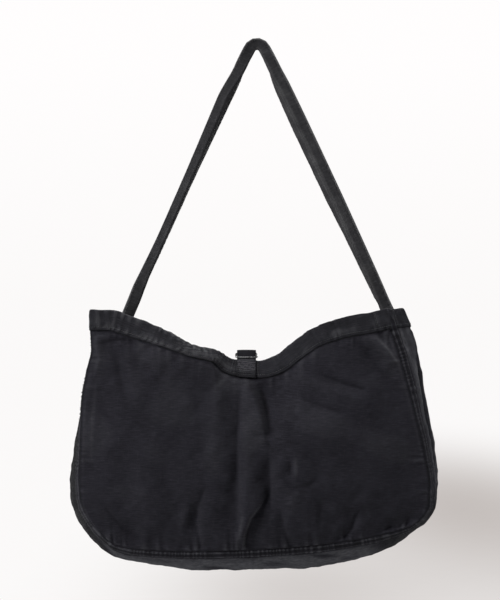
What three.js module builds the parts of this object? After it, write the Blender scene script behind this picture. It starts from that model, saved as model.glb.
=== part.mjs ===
// A newspaper delivery bag of canvas, hanging empty from the middle of its shoulder strap.
// Millimetres, +Z up, +X to the right, the front panel faces -Y.
// The origin is the underside of the strap where it hangs.
import * as THREE from "three";

// Overall sizes
const BAG_WIDTH = 552; // widest, across the lower part of the bag
const BAG_HEIGHT = 387; // mouth corner to the lowest point of the base
const MOUTH_WIDTH = 472;
const MOUTH_SAG = 78; // how far the clasp hangs below the mouth corners
const GUSSET_DEPTH = 124; // front seam to back seam at the base
const MOUTH_DEPTH = 92; // front seam to back seam at the mouth corners
const STRAP_DROP = 396; // strap underside at the hook down to the mouth corners
const CLASP_ACROSS = -16; // the clasp hangs left of the hook

// Cloth and hardware sizes
const CLOTH = 2.0;
const BAND_CLOTH = 1.4;
const BAND_WIDTH = 30;
const STRAP_CLOTH = 3.0;
const STRAP_WIDTH = 38;
const STRAP_FOOT_SHARE = 0.9; // share of the band's width that each strap end reaches down inside
const CLOSING_CLOTH = 1.8;
const CLOSING_WIDTH = 26;
const CLEARANCE = 0.3; // between layers of cloth that lie on each other
const FOOT_CLEARANCE = 0.8; // between the strap's sewn ends and the band
const SEAM_PULL = 0.4; // each panel edge stops this far short of its seam line
const MOUTH_PINCH = 15; // front to back at the clasp, between the middles of the two panels
const RING_WIRE = 2.6;
const RING_SIDE_GAP = 1.0; // between the closing strap's edge and the ring's side
const RING_DEPTH = 12; // between the middles of the ring's two long bars
const RING_TILT = 28; // degrees, the back bar higher than the front bar
const BAR_FORWARD = 0.75; // front bar in front of the hem's middle, in bar reaches
const BAR_RISE = 0.9; // front bar above the strap on the hem, in bar reaches
const STRAP_EASE = 0.4; // how far the strap runs along the hem before it lifts, in bar reaches
const ARCH_WIDTH = 2; // half width of the strap's arch over the back bar, in bar reaches
const ARCH_HEIGHT = 1.9; // its height above the bar's middle, in bar reaches
const ARCH_ANGLES = [165, 130, 90, 50, 15];

// Facets
const ACROSS_CELLS = 36;
const DOWN_CELLS = 16;
const GUSSET_CELLS = 6;
const STRAP_ACROSS_CELLS = 4;
const LEG_STEPS = 13;
const HOOK_STEPS = 8;
const RING_SIDES = 8;
const RING_CORNER_STEPS = 3;
const SHARPEST_MITRE = 0.6; // cosine of half the turn, so that no mitre runs out to a spike
const CREASE_LIMIT = 2; // a sharp crease is no more than this times the cloth's thickness
const FOOT_STEPS = 3; // steps down each sewn end of the strap
const COLUMN_CROWDING = 0.22; // how much closer together columns are near the clasp

// Mouth edge of the front. across: share of half the mouth, drop: share of MOUTH_SAG,
// lean: degrees that the band is tipped back at the top, depth: share of the way from the
// pinch at the clasp to the corner's depth.
const MOUTH_ROWS = [
  { across: -1.0, drop: 0.01, lean: 12, depth: 1.0 },
  { across: -0.88, drop: 0.01, lean: 10, depth: 0.97 },
  { across: -0.73, drop: 0.145, lean: 16, depth: 0.9 },
  { across: -0.5, drop: 0.44, lean: 38, depth: 0.72 },
  { across: -0.35, drop: 0.68, lean: 54, depth: 0.5 },
  { across: -0.195, drop: 0.79, lean: 52, depth: 0.24 },
  { across: -0.08, drop: 0.98, lean: 40, depth: 0.04 },
  { across: 0.0, drop: 1.0, lean: 36, depth: 0 },
  { across: 0.1, drop: 1.0, lean: 33, depth: 0.05 },
  { across: 0.2, drop: 0.92, lean: 30, depth: 0.22 },
  { across: 0.3, drop: 0.72, lean: 30, depth: 0.42 },
  { across: 0.385, drop: 0.54, lean: 28, depth: 0.55 },
  { across: 0.47, drop: 0.38, lean: 24, depth: 0.68 },
  { across: 0.56, drop: 0.275, lean: 20, depth: 0.78 },
  { across: 0.73, drop: 0.135, lean: 14, depth: 0.91 },
  { across: 0.87, drop: 0.07, lean: 11, depth: 0.97 },
  { across: 1.0, drop: -0.01, lean: 12, depth: 1.0 },
];
const LEFT_MOUTH_SHARE = 0.495; // of MOUTH_WIDTH, clasp to the left front seam
const RIGHT_MOUTH_SHARE = 0.443; // clasp to the right front seam

// Side seams of the front. down: share of BAG_HEIGHT below the mouth corner,
// out: distance from the hook's vertical, as a share of half BAG_WIDTH,
// depth: share of half GUSSET_DEPTH in front of the middle.
const LEFT_SEAM_ROWS = [
  { down: 0.08, out: -0.888, depth: 0.8 },
  { down: 0.15, out: -0.885, depth: 0.84 },
  { down: 0.24, out: -0.914, depth: 0.88 },
  { down: 0.35, out: -0.942, depth: 0.92 },
  { down: 0.52, out: -0.953, depth: 0.98 },
  { down: 0.65, out: -0.962, depth: 1.0 },
  { down: 0.72, out: -0.955, depth: 1.02 },
  { down: 0.77, out: -0.935, depth: 1.03 },
  { down: 0.82, out: -0.893, depth: 1.03 },
];
const RIGHT_SEAM_ROWS = [
  { down: 0.1, out: 0.715, depth: 0.84 },
  { down: 0.19, out: 0.77, depth: 0.9 },
  { down: 0.3, out: 0.82, depth: 0.96 },
  { down: 0.42, out: 0.868, depth: 1.0 },
  { down: 0.56, out: 0.914, depth: 1.02 },
  { down: 0.68, out: 0.936, depth: 1.03 },
  { down: 0.75, out: 0.93, depth: 1.02 },
  { down: 0.8, out: 0.89, depth: 1.02 },
  { down: 0.835, out: 0.825, depth: 1.02 },
];

// Bottom seam of the front, from the left corner to the right corner.
// across: share from the left end to the right end, down: share of BAG_HEIGHT.
const BOTTOM_ROWS = [
  { across: 0.0, down: 0.82 },
  { across: 0.03, down: 0.868 },
  { across: 0.075, down: 0.915 },
  { across: 0.14, down: 0.935 },
  { across: 0.3, down: 0.944 },
  { across: 0.47, down: 0.938 },
  { across: 0.68, down: 0.92 },
  { across: 0.84, down: 0.892 },
  { across: 0.94, down: 0.862 },
  { across: 1.0, down: 0.835 },
];

// How far the front bellies out past the straight line between its seams, as shares of
// GUSSET_DEPTH. down: share of the panel below the band, the rest across the panel.
const BELLY_ROWS = [
  { down: 0.0, left: 0, midLeft: 0.05, centre: -0.12, midRight: 0.05, right: 0 },
  { down: 0.15, left: 0, midLeft: 0.1, centre: -0.06, midRight: 0.1, right: 0 },
  { down: 0.4, left: 0, midLeft: 0.15, centre: 0.11, midRight: 0.15, right: 0 },
  { down: 0.7, left: 0, midLeft: 0.16, centre: 0.18, midRight: 0.16, right: 0 },
  { down: 0.9, left: 0, midLeft: 0.09, centre: 0.11, midRight: 0.09, right: 0 },
  { down: 1.0, left: 0, midLeft: 0, centre: 0, midRight: 0, right: 0 },
];
const RIM_FADE = 0.16; // share of the panel over which the rolled rim runs out
const FOLD_END_HEIGHT = 0.45; // height of a fold at its ends, against its middle
const FOLD_FADE_DOWN = 0.167; // share of the panel over which folds run out at the base seam
const FOLD_FADE_ACROSS = 0.125; // the same towards each side seam

// Folds of the front, each a ridge (+) or a valley (-) along a straight stretch.
// x: share of half BAG_WIDTH from the hook's vertical, z: share of BAG_HEIGHT below the
// mouth corner, both at the start and the end; width: share of BAG_WIDTH; height in mm.
const FRONT_FOLDS = [
  { x0: -0.085, z0: 0.28, x1: 0.02, z1: 0.44, width: 0.022, height: -9 },
  { x0: 0.02, z0: 0.44, x1: 0.1, z1: 0.62, width: 0.03, height: -7 },
  { x0: 0.1, z0: 0.62, x1: 0.02, z1: 0.8, width: 0.024, height: -5 },
  { x0: 0.02, z0: 0.8, x1: -0.05, z1: 0.92, width: 0.02, height: -7 },
  { x0: -0.1, z0: 0.3, x1: -0.03, z1: 0.56, width: 0.02, height: 6 },
  { x0: -0.11, z0: 0.34, x1: -0.18, z1: 0.6, width: 0.028, height: -5 },
  { x0: -0.19, z0: 0.7, x1: -0.21, z1: 0.9, width: 0.024, height: -4 },
  { x0: 0.19, z0: 0.62, x1: 0.2, z1: 0.7, width: 0.02, height: 5 },
  { x0: 0.24, z0: 0.27, x1: 0.52, z1: 0.34, width: 0.026, height: -4 },
  { x0: 0.62, z0: 0.13, x1: 0.76, z1: 0.22, width: 0.02, height: 3 },
  { x0: 0.46, z0: 0.92, x1: 0.55, z1: 0.8, width: 0.022, height: -5 },
  { x0: 0.62, z0: 0.9, x1: 0.82, z1: 0.83, width: 0.022, height: -4 },
  { x0: -0.88, z0: 0.12, x1: -0.66, z1: 0.14, width: 0.022, height: -4 },
  { x0: -0.75, z0: 0.16, x1: -0.7, z1: 0.34, width: 0.022, height: -3 },
];
const BACK_FOLDS = [
  { x0: -0.05, z0: 0.28, x1: -0.12, z1: 0.55, width: 0.026, height: -7 },
  { x0: -0.02, z0: 0.3, x1: 0.09, z1: 0.7, width: 0.028, height: -6 },
  { x0: -0.03, z0: 0.34, x1: -0.02, z1: 0.6, width: 0.024, height: 5 },
  { x0: 0.25, z0: 0.2, x1: 0.55, z1: 0.36, width: 0.028, height: -4 },
  { x0: -0.3, z0: 0.24, x1: -0.6, z1: 0.4, width: 0.028, height: -4 },
  { x0: -0.72, z0: 0.72, x1: -0.5, z1: 0.88, width: 0.024, height: -5 },
  { x0: 0.72, z0: 0.7, x1: 0.52, z1: 0.86, width: 0.024, height: -5 },
];

// Gusset bulge past the straight line from front seam to back seam, outward positive, as
// shares of GUSSET_DEPTH. down: share of each side from the mouth to its lower corner.
const LEFT_GUSSET_ROWS = [
  { down: 0.0, front: -0.15, middle: -0.44, back: -0.15 },
  { down: 0.0625, front: -0.12, middle: -0.36, back: -0.12 },
  { down: 0.25, front: -0.07, middle: -0.16, back: -0.07 },
  { down: 0.42, front: -0.01, middle: 0.0, back: -0.01 },
  { down: 0.6, front: 0.08, middle: 0.1, back: 0.08 },
  { down: 0.78, front: 0.11, middle: 0.145, back: 0.11 },
  { down: 1.0, front: 0.15, middle: 0.19, back: 0.15 },
];
const RIGHT_GUSSET_ROWS = [
  { down: 0.0, front: 0.23, middle: 0.04, back: 0.2 },
  { down: 0.0625, front: 0.26, middle: 0.11, back: 0.23 },
  { down: 0.25, front: 0.24, middle: 0.22, back: 0.24 },
  { down: 0.42, front: 0.17, middle: 0.2, back: 0.19 },
  { down: 0.6, front: 0.13, middle: 0.18, back: 0.14 },
  { down: 0.78, front: 0.11, middle: 0.15, back: 0.11 },
  { down: 1.0, front: 0.1, middle: 0.13, back: 0.1 },
];
const BASE_ROWS = [
  { across: 0.0, front: 0.15, middle: 0.19, back: 0.15 },
  { across: 0.12, front: 0.11, middle: 0.14, back: 0.11 },
  { across: 0.3, front: 0.17, middle: 0.23, back: 0.17 },
  { across: 0.5, front: 0.19, middle: 0.26, back: 0.19 },
  { across: 0.7, front: 0.22, middle: 0.3, back: 0.22 },
  { across: 0.86, front: 0.2, middle: 0.26, back: 0.2 },
  { across: 1.0, front: 0.1, middle: 0.13, back: 0.1 },
];
const GUSSET_DIP = 9; // the gusset's mouth edge dips this far at its middle
const DIP_FADE = 0.33; // share of each side over which that dip runs out
const BACK_DROP = 3; // the back mouth edge hangs this much lower
const DROP_ROWS = 4; // rows of the back over which that runs out

const HOOK_OPEN = 34; // degrees between the strap's halves over the hook

// Strap sections from the foot to the hook. along: share of the leg, open: degrees between
// the two halves of the ribbon, turn: degrees that the fold is turned towards the front.
const LEFT_STRAP_ROWS = [
  { along: 0.0, open: 92, turn: 4 },
  { along: 0.3, open: 96, turn: 4 },
  { along: 0.55, open: 92, turn: 6 },
  { along: 0.75, open: 74, turn: 14 },
  { along: 0.9, open: 58, turn: 20 },
  { along: 1.0, open: HOOK_OPEN, turn: 0 },
];
const RIGHT_STRAP_ROWS = [
  { along: 0.0, open: 84, turn: 6 },
  { along: 0.2, open: 100, turn: 18 },
  { along: 0.45, open: 118, turn: 40 },
  { along: 0.7, open: 120, turn: 44 },
  { along: 0.88, open: 80, turn: 26 },
  { along: 1.0, open: HOOK_OPEN, turn: 0 },
];
const HOOK_BEND = 5; // radius of the strap's crease over the hook
const FOOT_RISE = 26; // first free section above the mouth edge

// Worked out from the sizes above
const HALF_WIDTH = BAG_WIDTH / 2;
const HALF_DEPTH = GUSSET_DEPTH / 2;
const CORNER_Z = -STRAP_DROP;
const HALF_CLOTH = CLOTH / 2;
const BAND_INNER = HALF_CLOTH + CLEARANCE;
const BAND_OUTER = BAND_INNER + BAND_CLOTH;
const RAD = Math.PI / 180;

// Smooth curve through the rows of a table: the value of one column at one place.
function rowValue(rows, key, at, column) {
  const last = rows.length - 1;
  if (at <= rows[0][key]) return rows[0][column];
  if (at >= rows[last][key]) return rows[last][column];
  let i = 0;
  while (at > rows[i + 1][key]) i += 1;
  const slope = (a, b) => (rows[b][column] - rows[a][column]) / (rows[b][key] - rows[a][key]);
  const here = slope(i, i + 1);
  const before = i > 0 ? slope(i - 1, i) : here;
  const after = i < last - 1 ? slope(i + 1, i + 2) : here;
  const blend = (a, b) => (a * b <= 0 ? 0 : (2 * a * b) / (a + b));
  const span = rows[i + 1][key] - rows[i][key];
  const t = (at - rows[i][key]) / span;
  const startSlope = i > 0 ? blend(before, here) : here;
  const endSlope = i < last - 1 ? blend(here, after) : here;
  const t2 = t * t;
  const t3 = t2 * t;
  return (
    (2 * t3 - 3 * t2 + 1) * rows[i][column] +
    (t3 - 2 * t2 + t) * span * startSlope +
    (3 * t2 - 2 * t3) * rows[i + 1][column] +
    (t3 - t2) * span * endSlope
  );
}

// The same smooth curve through plain values at even steps, such as a belly row.
function spread(values, at) {
  const rows = values.map((value, i) => ({ at: i / (values.length - 1), value }));
  return rowValue(rows, "at", at, "value");
}

const lerp = THREE.MathUtils.lerp;
const point = (x, y, z) => new THREE.Vector3(x, y, z);

// Shares across a panel, closer together near the clasp where the folds are.
const acrossShares = Array.from({ length: ACROSS_CELLS + 1 }, (_, i) => {
  const t = (2 * i) / ACROSS_CELLS - 1;
  return t * (1 - COLUMN_CROWDING * (1 - t * t));
});

function mouthPoint(share) {
  const reach = share < 0 ? LEFT_MOUTH_SHARE : RIGHT_MOUTH_SHARE;
  const value = (column) => rowValue(MOUTH_ROWS, "across", share, column);
  return point(
    CLASP_ACROSS + share * reach * MOUTH_WIDTH,
    -lerp(MOUTH_PINCH, MOUTH_DEPTH, value("depth")) / 2,
    CORNER_Z - value("drop") * MOUTH_SAG,
  );
}

// The line that the band's lower edge follows, a band's width below the mouth edge.
function bandFoot(share) {
  const step = 0.01;
  const here = mouthPoint(share);
  const ahead = mouthPoint(Math.min(1, share + step));
  const behind = mouthPoint(Math.max(-1, share - step));
  const run = ahead.x - behind.x;
  const rise = ahead.z - behind.z;
  const length = Math.hypot(run, rise);
  const lean = rowValue(MOUTH_ROWS, "across", share, "lean") * RAD;
  const shown = BAND_WIDTH * Math.cos(lean);
  return here.add(
    point((shown * rise) / length, -BAND_WIDTH * Math.sin(lean), (-shown * run) / length),
  );
}

function foldHeight(folds, x, z) {
  let height = 0;
  for (const fold of folds) {
    const startX = fold.x0 * HALF_WIDTH;
    const startZ = CORNER_Z - fold.z0 * BAG_HEIGHT;
    const runX = fold.x1 * HALF_WIDTH - startX;
    const runZ = CORNER_Z - fold.z1 * BAG_HEIGHT - startZ;
    const along = ((x - startX) * runX + (z - startZ) * runZ) / (runX * runX + runZ * runZ);
    const near = THREE.MathUtils.clamp(along, 0, 1);
    const away = Math.hypot(x - startX - near * runX, z - startZ - near * runZ);
    const taper = lerp(FOLD_END_HEIGHT, 1, Math.sin(Math.PI * near));
    height += fold.height * taper * Math.exp(-((away / (fold.width * BAG_WIDTH)) ** 2));
  }
  return height;
}

// One side seam at a share down from the band to the lower corner.
function seamPoint(rows, start, share) {
  const firstDown = rows[0].down;
  const lastDown = rows[rows.length - 1].down;
  const down = lerp(firstDown, lastDown, share);
  const seam = point(
    rowValue(rows, "down", down, "out") * HALF_WIDTH,
    -rowValue(rows, "down", down, "depth") * HALF_DEPTH,
    CORNER_Z - down * BAG_HEIGHT,
  );
  const offset = start.clone().sub(
    point(rows[0].out * HALF_WIDTH, -rows[0].depth * HALF_DEPTH, CORNER_Z - firstDown * BAG_HEIGHT),
  );
  return seam.add(offset.multiplyScalar((1 - share) ** 2));
}

// The front panel's middle surface as rows of points, or the back's, which mirrors it.
function panelGrid(folds) {
  const grid = [acrossShares.map(mouthPoint), acrossShares.map(bandFoot)];
  const top = grid[1];
  const leftTop = top[0];
  const rightTop = top[ACROSS_CELLS];
  const rows = DOWN_CELLS - 1;
  const leftCorner = seamPoint(LEFT_SEAM_ROWS, leftTop, 1);
  const rightCorner = seamPoint(RIGHT_SEAM_ROWS, rightTop, 1);
  for (let r = 1; r <= rows; r += 1) {
    const v = r / rows;
    const left = seamPoint(LEFT_SEAM_ROWS, leftTop, v);
    const right = seamPoint(RIGHT_SEAM_ROWS, rightTop, v);
    grid.push(
      acrossShares.map((share, c) => {
        const u = (share + 1) / 2;
        const bottomX = lerp(leftCorner.x, rightCorner.x, u);
        const bottomZ = CORNER_Z - rowValue(BOTTOM_ROWS, "across", u, "down") * BAG_HEIGHT;
        const sideX = lerp(left.x, right.x, u);
        const sideZ = lerp(left.z, right.z, u);
        const topGapX = top[c].x - lerp(leftTop.x, rightTop.x, u);
        const topGapZ = top[c].z - lerp(leftTop.z, rightTop.z, u);
        const bottomGapZ = bottomZ - lerp(leftCorner.z, rightCorner.z, u);
        const bottomGapX = bottomX - lerp(leftCorner.x, rightCorner.x, u);
        const x = sideX + (1 - v) * topGapX + v * bottomGapX;
        const z = sideZ + (1 - v) * topGapZ + v * bottomGapZ;
        const seamY = lerp(left.y, right.y, u);
        const bellies = ["left", "midLeft", "centre", "midRight", "right"];
        const bellyAt = (down) =>
          GUSSET_DEPTH *
          spread(
            bellies.map((column) => rowValue(BELLY_ROWS, "down", down, column)),
            u,
          );
        const rim = top[c].y - (lerp(leftTop.y, rightTop.y, u) - bellyAt(0));
        const y = seamY - bellyAt(v) + rim * Math.exp(-((v / RIM_FADE) ** 2) / 2);
        const toSide = Math.min(u, 1 - u) / FOLD_FADE_ACROSS;
        const toBase = (1 - v) / FOLD_FADE_DOWN;
        const fade = Math.min(1, toSide ** 2, toBase ** 2);
        return point(x, y - foldHeight(folds, x, z) * fade, z);
      }),
    );
  }
  return grid;
}

function mirrorToBack(grid) {
  return grid.map((row, r) =>
    row.map((p) => point(p.x, -p.y, p.z - BACK_DROP * Math.max(0, 1 - r / DROP_ROWS))),
  );
}

// The points round a panel's sides and bottom, from its left mouth corner to its right.
function perimeter(grid) {
  const left = grid.map((row) => row[0]);
  const bottom = grid[DOWN_CELLS].slice(1, ACROSS_CELLS);
  const right = grid.map((row) => row[ACROSS_CELLS]).reverse();
  return [...left, ...bottom, ...right];
}

// Rows of points from the front seam to the back seam, one row for each perimeter point.
function gussetGrid(front, back) {
  const frontEdge = perimeter(front);
  const backEdge = perimeter(back);
  const last = frontEdge.length - 1;
  return frontEdge.map((start, s) => {
    const end = backEdge[s];
    const ahead = frontEdge[Math.min(last, s + 1)];
    const behind = frontEdge[Math.max(0, s - 1)];
    const outward = point(behind.z - ahead.z, 0, ahead.x - behind.x).normalize().negate();
    const steep = s < DOWN_CELLS || s > last - DOWN_CELLS;
    const sideShare = Math.min(s, last - s) / DOWN_CELLS;
    const baseShare = (s - DOWN_CELLS) / ACROSS_CELLS;
    const sideRows = s < last / 2 ? LEFT_GUSSET_ROWS : RIGHT_GUSSET_ROWS;
    const value = (column) =>
      steep
        ? rowValue(sideRows, "down", sideShare, column)
        : rowValue(BASE_ROWS, "across", baseShare, column);
    const bulges = [0, value("front"), value("middle"), value("back"), 0];
    const dip = steep ? GUSSET_DIP * Math.max(0, 1 - sideShare / DIP_FADE) : 0;
    return Array.from({ length: GUSSET_CELLS + 1 }, (_, w) => {
      const share = w / GUSSET_CELLS;
      const p = start.clone().lerp(end, share);
      p.addScaledVector(outward, spread(bulges, share) * GUSSET_DEPTH);
      p.z -= dip * Math.sin(Math.PI * share);
      return p;
    });
  });
}

// Offset directions for all sheets at once, so that neighbours meet at a mitre midway
// between them. A point moved by h along its direction lies about h away from each facet
// that meets there, up to the sharpest mitre.
function offsetDirections(grids) {
  const facetsAt = new Map();
  const keyOf = (p) => p.toArray().map((value) => Math.round(value * 1e4)).join();
  const addFace = (sheetIndex, a, b, c) => {
    const normal = b.clone().sub(a).cross(c.clone().sub(a));
    if (normal.lengthSq() < 1e-9) return;
    normal.normalize();
    for (const [p, next, before] of [[a, b, c], [b, c, a], [c, a, b]]) {
      const angle = next.clone().sub(p).angleTo(before.clone().sub(p));
      const key = keyOf(p);
      if (!facetsAt.has(key)) facetsAt.set(key, grids.map(() => []));
      facetsAt.get(key)[sheetIndex].push({ normal, angle });
    }
  };
  grids.forEach(({ grid, flip }, sheetIndex) => {
    for (let r = 0; r < grid.length - 1; r += 1) {
      for (let c = 0; c < grid[r].length - 1; c += 1) {
        const corners = [grid[r][c], grid[r + 1][c], grid[r + 1][c + 1], grid[r][c + 1]];
        if (flip) corners.reverse();
        addFace(sheetIndex, corners[0], corners[1], corners[2]);
        addFace(sheetIndex, corners[0], corners[2], corners[3]);
      }
    }
  });
  const sum = (vectors) => vectors.reduce((total, v) => total.add(v), point(0, 0, 0));
  return (p) => {
    const bySheet = facetsAt.get(keyOf(p)).filter((facets) => facets.length > 0);
    const sheetNormals = bySheet.map((facets) =>
      sum(facets.map(({ normal, angle }) => normal.clone().multiplyScalar(angle))).normalize(),
    );
    const mean = sum(sheetNormals).normalize();
    const least = Math.min(...bySheet.flat().map(({ normal }) => normal.dot(mean)));
    return mean.multiplyScalar(1 / Math.max(SHARPEST_MITRE, least));
  };
}

// A closed mesh from loops of points that all have the same count: the loops are joined
// one to the next, and the first and last are capped unless the row of loops is a ring.
// crossed(link, side) tells which quads take their other diagonal.
function loftLoops(loops, { ring = false, crossed = () => false } = {}) {
  const count = loops[0].length;
  const positions = loops.flatMap((loop) => loop.flatMap((p) => [p.x, p.y, p.z]));
  const indices = [];
  const links = ring ? loops.length : loops.length - 1;
  for (let i = 0; i < links; i += 1) {
    const a = i * count;
    const b = ((i + 1) % loops.length) * count;
    for (let k = 0; k < count; k += 1) {
      const next = (k + 1) % count;
      if (crossed(i, k)) {
        indices.push(a + k, b + k, a + next, b + k, b + next, a + next);
      } else {
        indices.push(a + k, b + k, b + next, a + k, b + next, a + next);
      }
    }
  }
  if (!ring) {
    const lastLoop = (loops.length - 1) * count;
    for (let k = 0; k < count / 2 - 1; k += 1) {
      const low = k;
      const high = count - 1 - k;
      indices.push(low, low + 1, high, low + 1, high - 1, high);
      const e = lastLoop;
      indices.push(e + low, e + high, e + low + 1, e + low + 1, e + high, e + high - 1);
    }
  }
  const geometry = new THREE.BufferGeometry();
  geometry.setAttribute("position", new THREE.Float32BufferAttribute(positions, 3));
  geometry.setIndex(indices);
  return signedVolume(geometry) < 0 ? flipped(geometry) : geometry;
}

function signedVolume(geometry) {
  const p = geometry.attributes.position;
  const index = geometry.index.array;
  const at = (i) => point(p.getX(index[i]), p.getY(index[i]), p.getZ(index[i]));
  let volume = 0;
  for (let i = 0; i < index.length; i += 3) {
    volume += at(i).dot(at(i + 1).cross(at(i + 2))) / 6;
  }
  return volume;
}

function flipped(geometry) {
  const index = geometry.index.array;
  for (let i = 0; i < index.length; i += 3) {
    [index[i + 1], index[i + 2]] = [index[i + 2], index[i + 1]];
  }
  return geometry;
}

// A sheet of cloth: every row becomes a closed loop, out along one face and back along the
// other. pull names the edges that stop short of a seam line.
function sheet(grid, direction, pull) {
  const rows = grid.length - 1;
  const loops = grid.map((row, r) => {
    const columns = row.length - 1;
    const places = row.map((p, c) => {
      const moved = p.clone();
      const way = direction(p).clone();
      const shift = (neighbour) => {
        const share = SEAM_PULL / p.distanceTo(neighbour);
        moved.addScaledVector(neighbour.clone().sub(p), share);
        way.addScaledVector(direction(neighbour).clone().sub(direction(p)), share);
      };
      if (pull.columns && c === 0) shift(row[1]);
      if (pull.columns && c === columns) shift(row[columns - 1]);
      if (pull.lastRow && r === rows) shift(grid[rows - 1][c]);
      return { moved, way };
    });
    const face = (lift) => places.map(({ moved, way }) => moved.clone().addScaledVector(way, lift));
    const outer = face(HALF_CLOTH);
    const inner = face(-HALF_CLOTH);
    return [...outer, ...inner.reverse()];
  });
  return loftLoops(loops, { crossed: (link, side) => side >= grid[0].length });
}

// The mouth ring: pairs of points, on the mouth edge and a band's width below it, all the
// way round the front, the right gusset, the back and the left gusset. falls tells that the
// facets from this pair to the next meet on a diagonal that starts at the mouth edge, and
// forward that the ring runs the same way here as the sheet's own points.
function mouthRing(front, back, gusset) {
  const last = gusset.length - 1;
  const pairs = (tops, foots, flags) => tops.map((top, i) => ({ top, foot: foots[i], ...flags }));
  const frontPairs = pairs(front[0], front[1], { falls: true, forward: true });
  const backPairs = pairs(back[0], back[1], { falls: false, forward: false });
  const rightPairs = pairs(gusset[last], gusset[last - 1], { falls: false, forward: true });
  const leftPairs = pairs(gusset[0], gusset[1], { falls: false, forward: false });
  frontPairs[ACROSS_CELLS].falls = false;
  return [
    ...frontPairs,
    ...rightPairs.slice(1, -1),
    ...backPairs.reverse(),
    ...leftPairs.slice(1, -1).reverse(),
  ];
}

// The hem band straddles the mouth edge: down the outside, over the edge, down the inside.
function hemBand(ringPairs, direction) {
  const loops = ringPairs.map(({ top, foot }) => {
    const up = top.clone().sub(foot).normalize();
    const outTop = direction(top);
    const outFoot = direction(foot);
    const at = (base, out, sideways, lift) =>
      base.clone().addScaledVector(out, sideways).addScaledVector(up, lift);
    const edgeTop = CLEARANCE + BAND_CLOTH;
    const low = SEAM_PULL;
    return [
      at(foot, outFoot, BAND_OUTER, low),
      at(top, outTop, BAND_OUTER, CLEARANCE),
      at(top, outTop, BAND_OUTER - BAND_CLOTH, edgeTop),
      at(top, outTop, -BAND_OUTER + BAND_CLOTH, edgeTop),
      at(top, outTop, -BAND_OUTER, CLEARANCE),
      at(foot, outFoot, -BAND_OUTER, low),
      at(foot, outFoot, -BAND_INNER, low),
      at(top, outTop, -BAND_INNER, CLEARANCE),
      at(top, outTop, BAND_INNER, CLEARANCE),
      at(foot, outFoot, BAND_INNER, low),
    ];
  });
  const upwardSides = [0, 6];
  const downwardSides = [4, 8];
  const ceiling = 7;
  const crossed = (link, side) => {
    const { falls, forward } = ringPairs[link];
    if (side === ceiling) return !forward;
    return (falls ? upwardSides : downwardSides).includes(side);
  };
  return loftLoops(loops, { ring: true, crossed });
}

// A ribbon from stations, each with the middle points across it and their directions.
// The first link's diagonal runs the other way where what it lies on asks for that.
function ribbon(stations, thickness, firstCrossed = false) {
  const loops = stations.map(({ middle, directions }) => {
    const half = thickness / 2;
    const upper = middle.map((p, i) => p.clone().addScaledVector(directions[i], half));
    const lower = middle.map((p, i) => p.clone().addScaledVector(directions[i], -half));
    return [...upper, ...lower.reverse()];
  });
  const across = stations[0].middle.length;
  const crossed = (link, side) => side >= across !== (firstCrossed && link === 0);
  return loftLoops(loops, { crossed });
}

function creaseMitre(openDegrees) {
  return Math.min(CREASE_LIMIT, 1 / Math.sin((openDegrees / 2) * RAD));
}

// A strap section folded lengthwise: the crease, the way that the fold opens, the way
// that the strap runs, and the angle between the two halves.
function foldedSection(crease, opensTo, along, openDegrees) {
  const side = along.clone().cross(opensTo).normalize();
  const half = (openDegrees / 2) * RAD;
  const middle = [];
  const directions = [];
  for (let i = 0; i <= STRAP_ACROSS_CELLS; i += 1) {
    const share = (2 * i) / STRAP_ACROSS_CELLS - 1;
    const hand = Math.sign(share);
    const way = opensTo.clone().multiplyScalar(Math.cos(half));
    way.addScaledVector(side, hand * Math.sin(half));
    middle.push(crease.clone().addScaledVector(way, (Math.abs(share) * STRAP_WIDTH) / 2));
    if (hand === 0) {
      directions.push(opensTo.clone().multiplyScalar(-creaseMitre(openDegrees)));
    } else {
      const normal = opensTo.clone().multiplyScalar(-Math.sin(half));
      directions.push(normal.addScaledVector(side, hand * Math.cos(half)));
    }
  }
  return { middle, directions };
}

// A place on the two facets between two columns of the gusset's hem, and its direction.
// across runs from the first column to the next, down from the mouth edge to the foot.
function onFacets(hem, column, across, down) {
  const mix = (of) => {
    const topA = of(hem.top[column]);
    const topB = of(hem.top[column + 1]);
    const footA = of(hem.foot[column]);
    const footB = of(hem.foot[column + 1]);
    const from = (base, a, aShare, b, bShare) =>
      base
        .clone()
        .addScaledVector(a.clone().sub(base), aShare)
        .addScaledVector(b.clone().sub(base), bShare);
    if (hem.falls) {
      return across >= down
        ? from(topB, topA, 1 - across, footB, down)
        : from(footA, topA, 1 - down, footB, across);
    }
    return across <= 1 - down
      ? from(topA, topB, across, footA, down)
      : from(footB, footA, 1 - across, topB, 1 - down);
  };
  return { p: mix((corner) => corner), way: mix(hem.direction) };
}

// The strap's sewn end lies on the band inside the gusset's fold, at one share down it.
function footSection(hem, downShare) {
  const middleColumn = GUSSET_CELLS / 2;
  const inset = BAND_OUTER + FOOT_CLEARANCE + STRAP_CLOTH / 2;
  const middle = [];
  const directions = [];
  for (let i = 0; i <= STRAP_ACROSS_CELLS; i += 1) {
    const share = (2 * i) / STRAP_ACROSS_CELLS - 1;
    const column = share < 0 ? middleColumn - 1 : middleColumn;
    const width = hem.top[column].distanceTo(hem.top[column + 1]);
    const t = ((Math.abs(share) * STRAP_WIDTH) / 2) / width;
    const { p, way } = onFacets(hem, column, share < 0 ? 1 - t : t, downShare);
    middle.push(p.addScaledVector(way, -inset));
    directions.push(way.negate());
  }
  return { middle, directions };
}

// The strap's crease on its bend over the hook, by the angle from the top.
function hookCrease(angle) {
  const underside = (STRAP_CLOTH / 2) * creaseMitre(HOOK_OPEN);
  return point(
    HOOK_BEND * Math.sin(angle),
    0,
    HOOK_BEND * (Math.cos(angle) - 1) + underside,
  );
}

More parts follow.
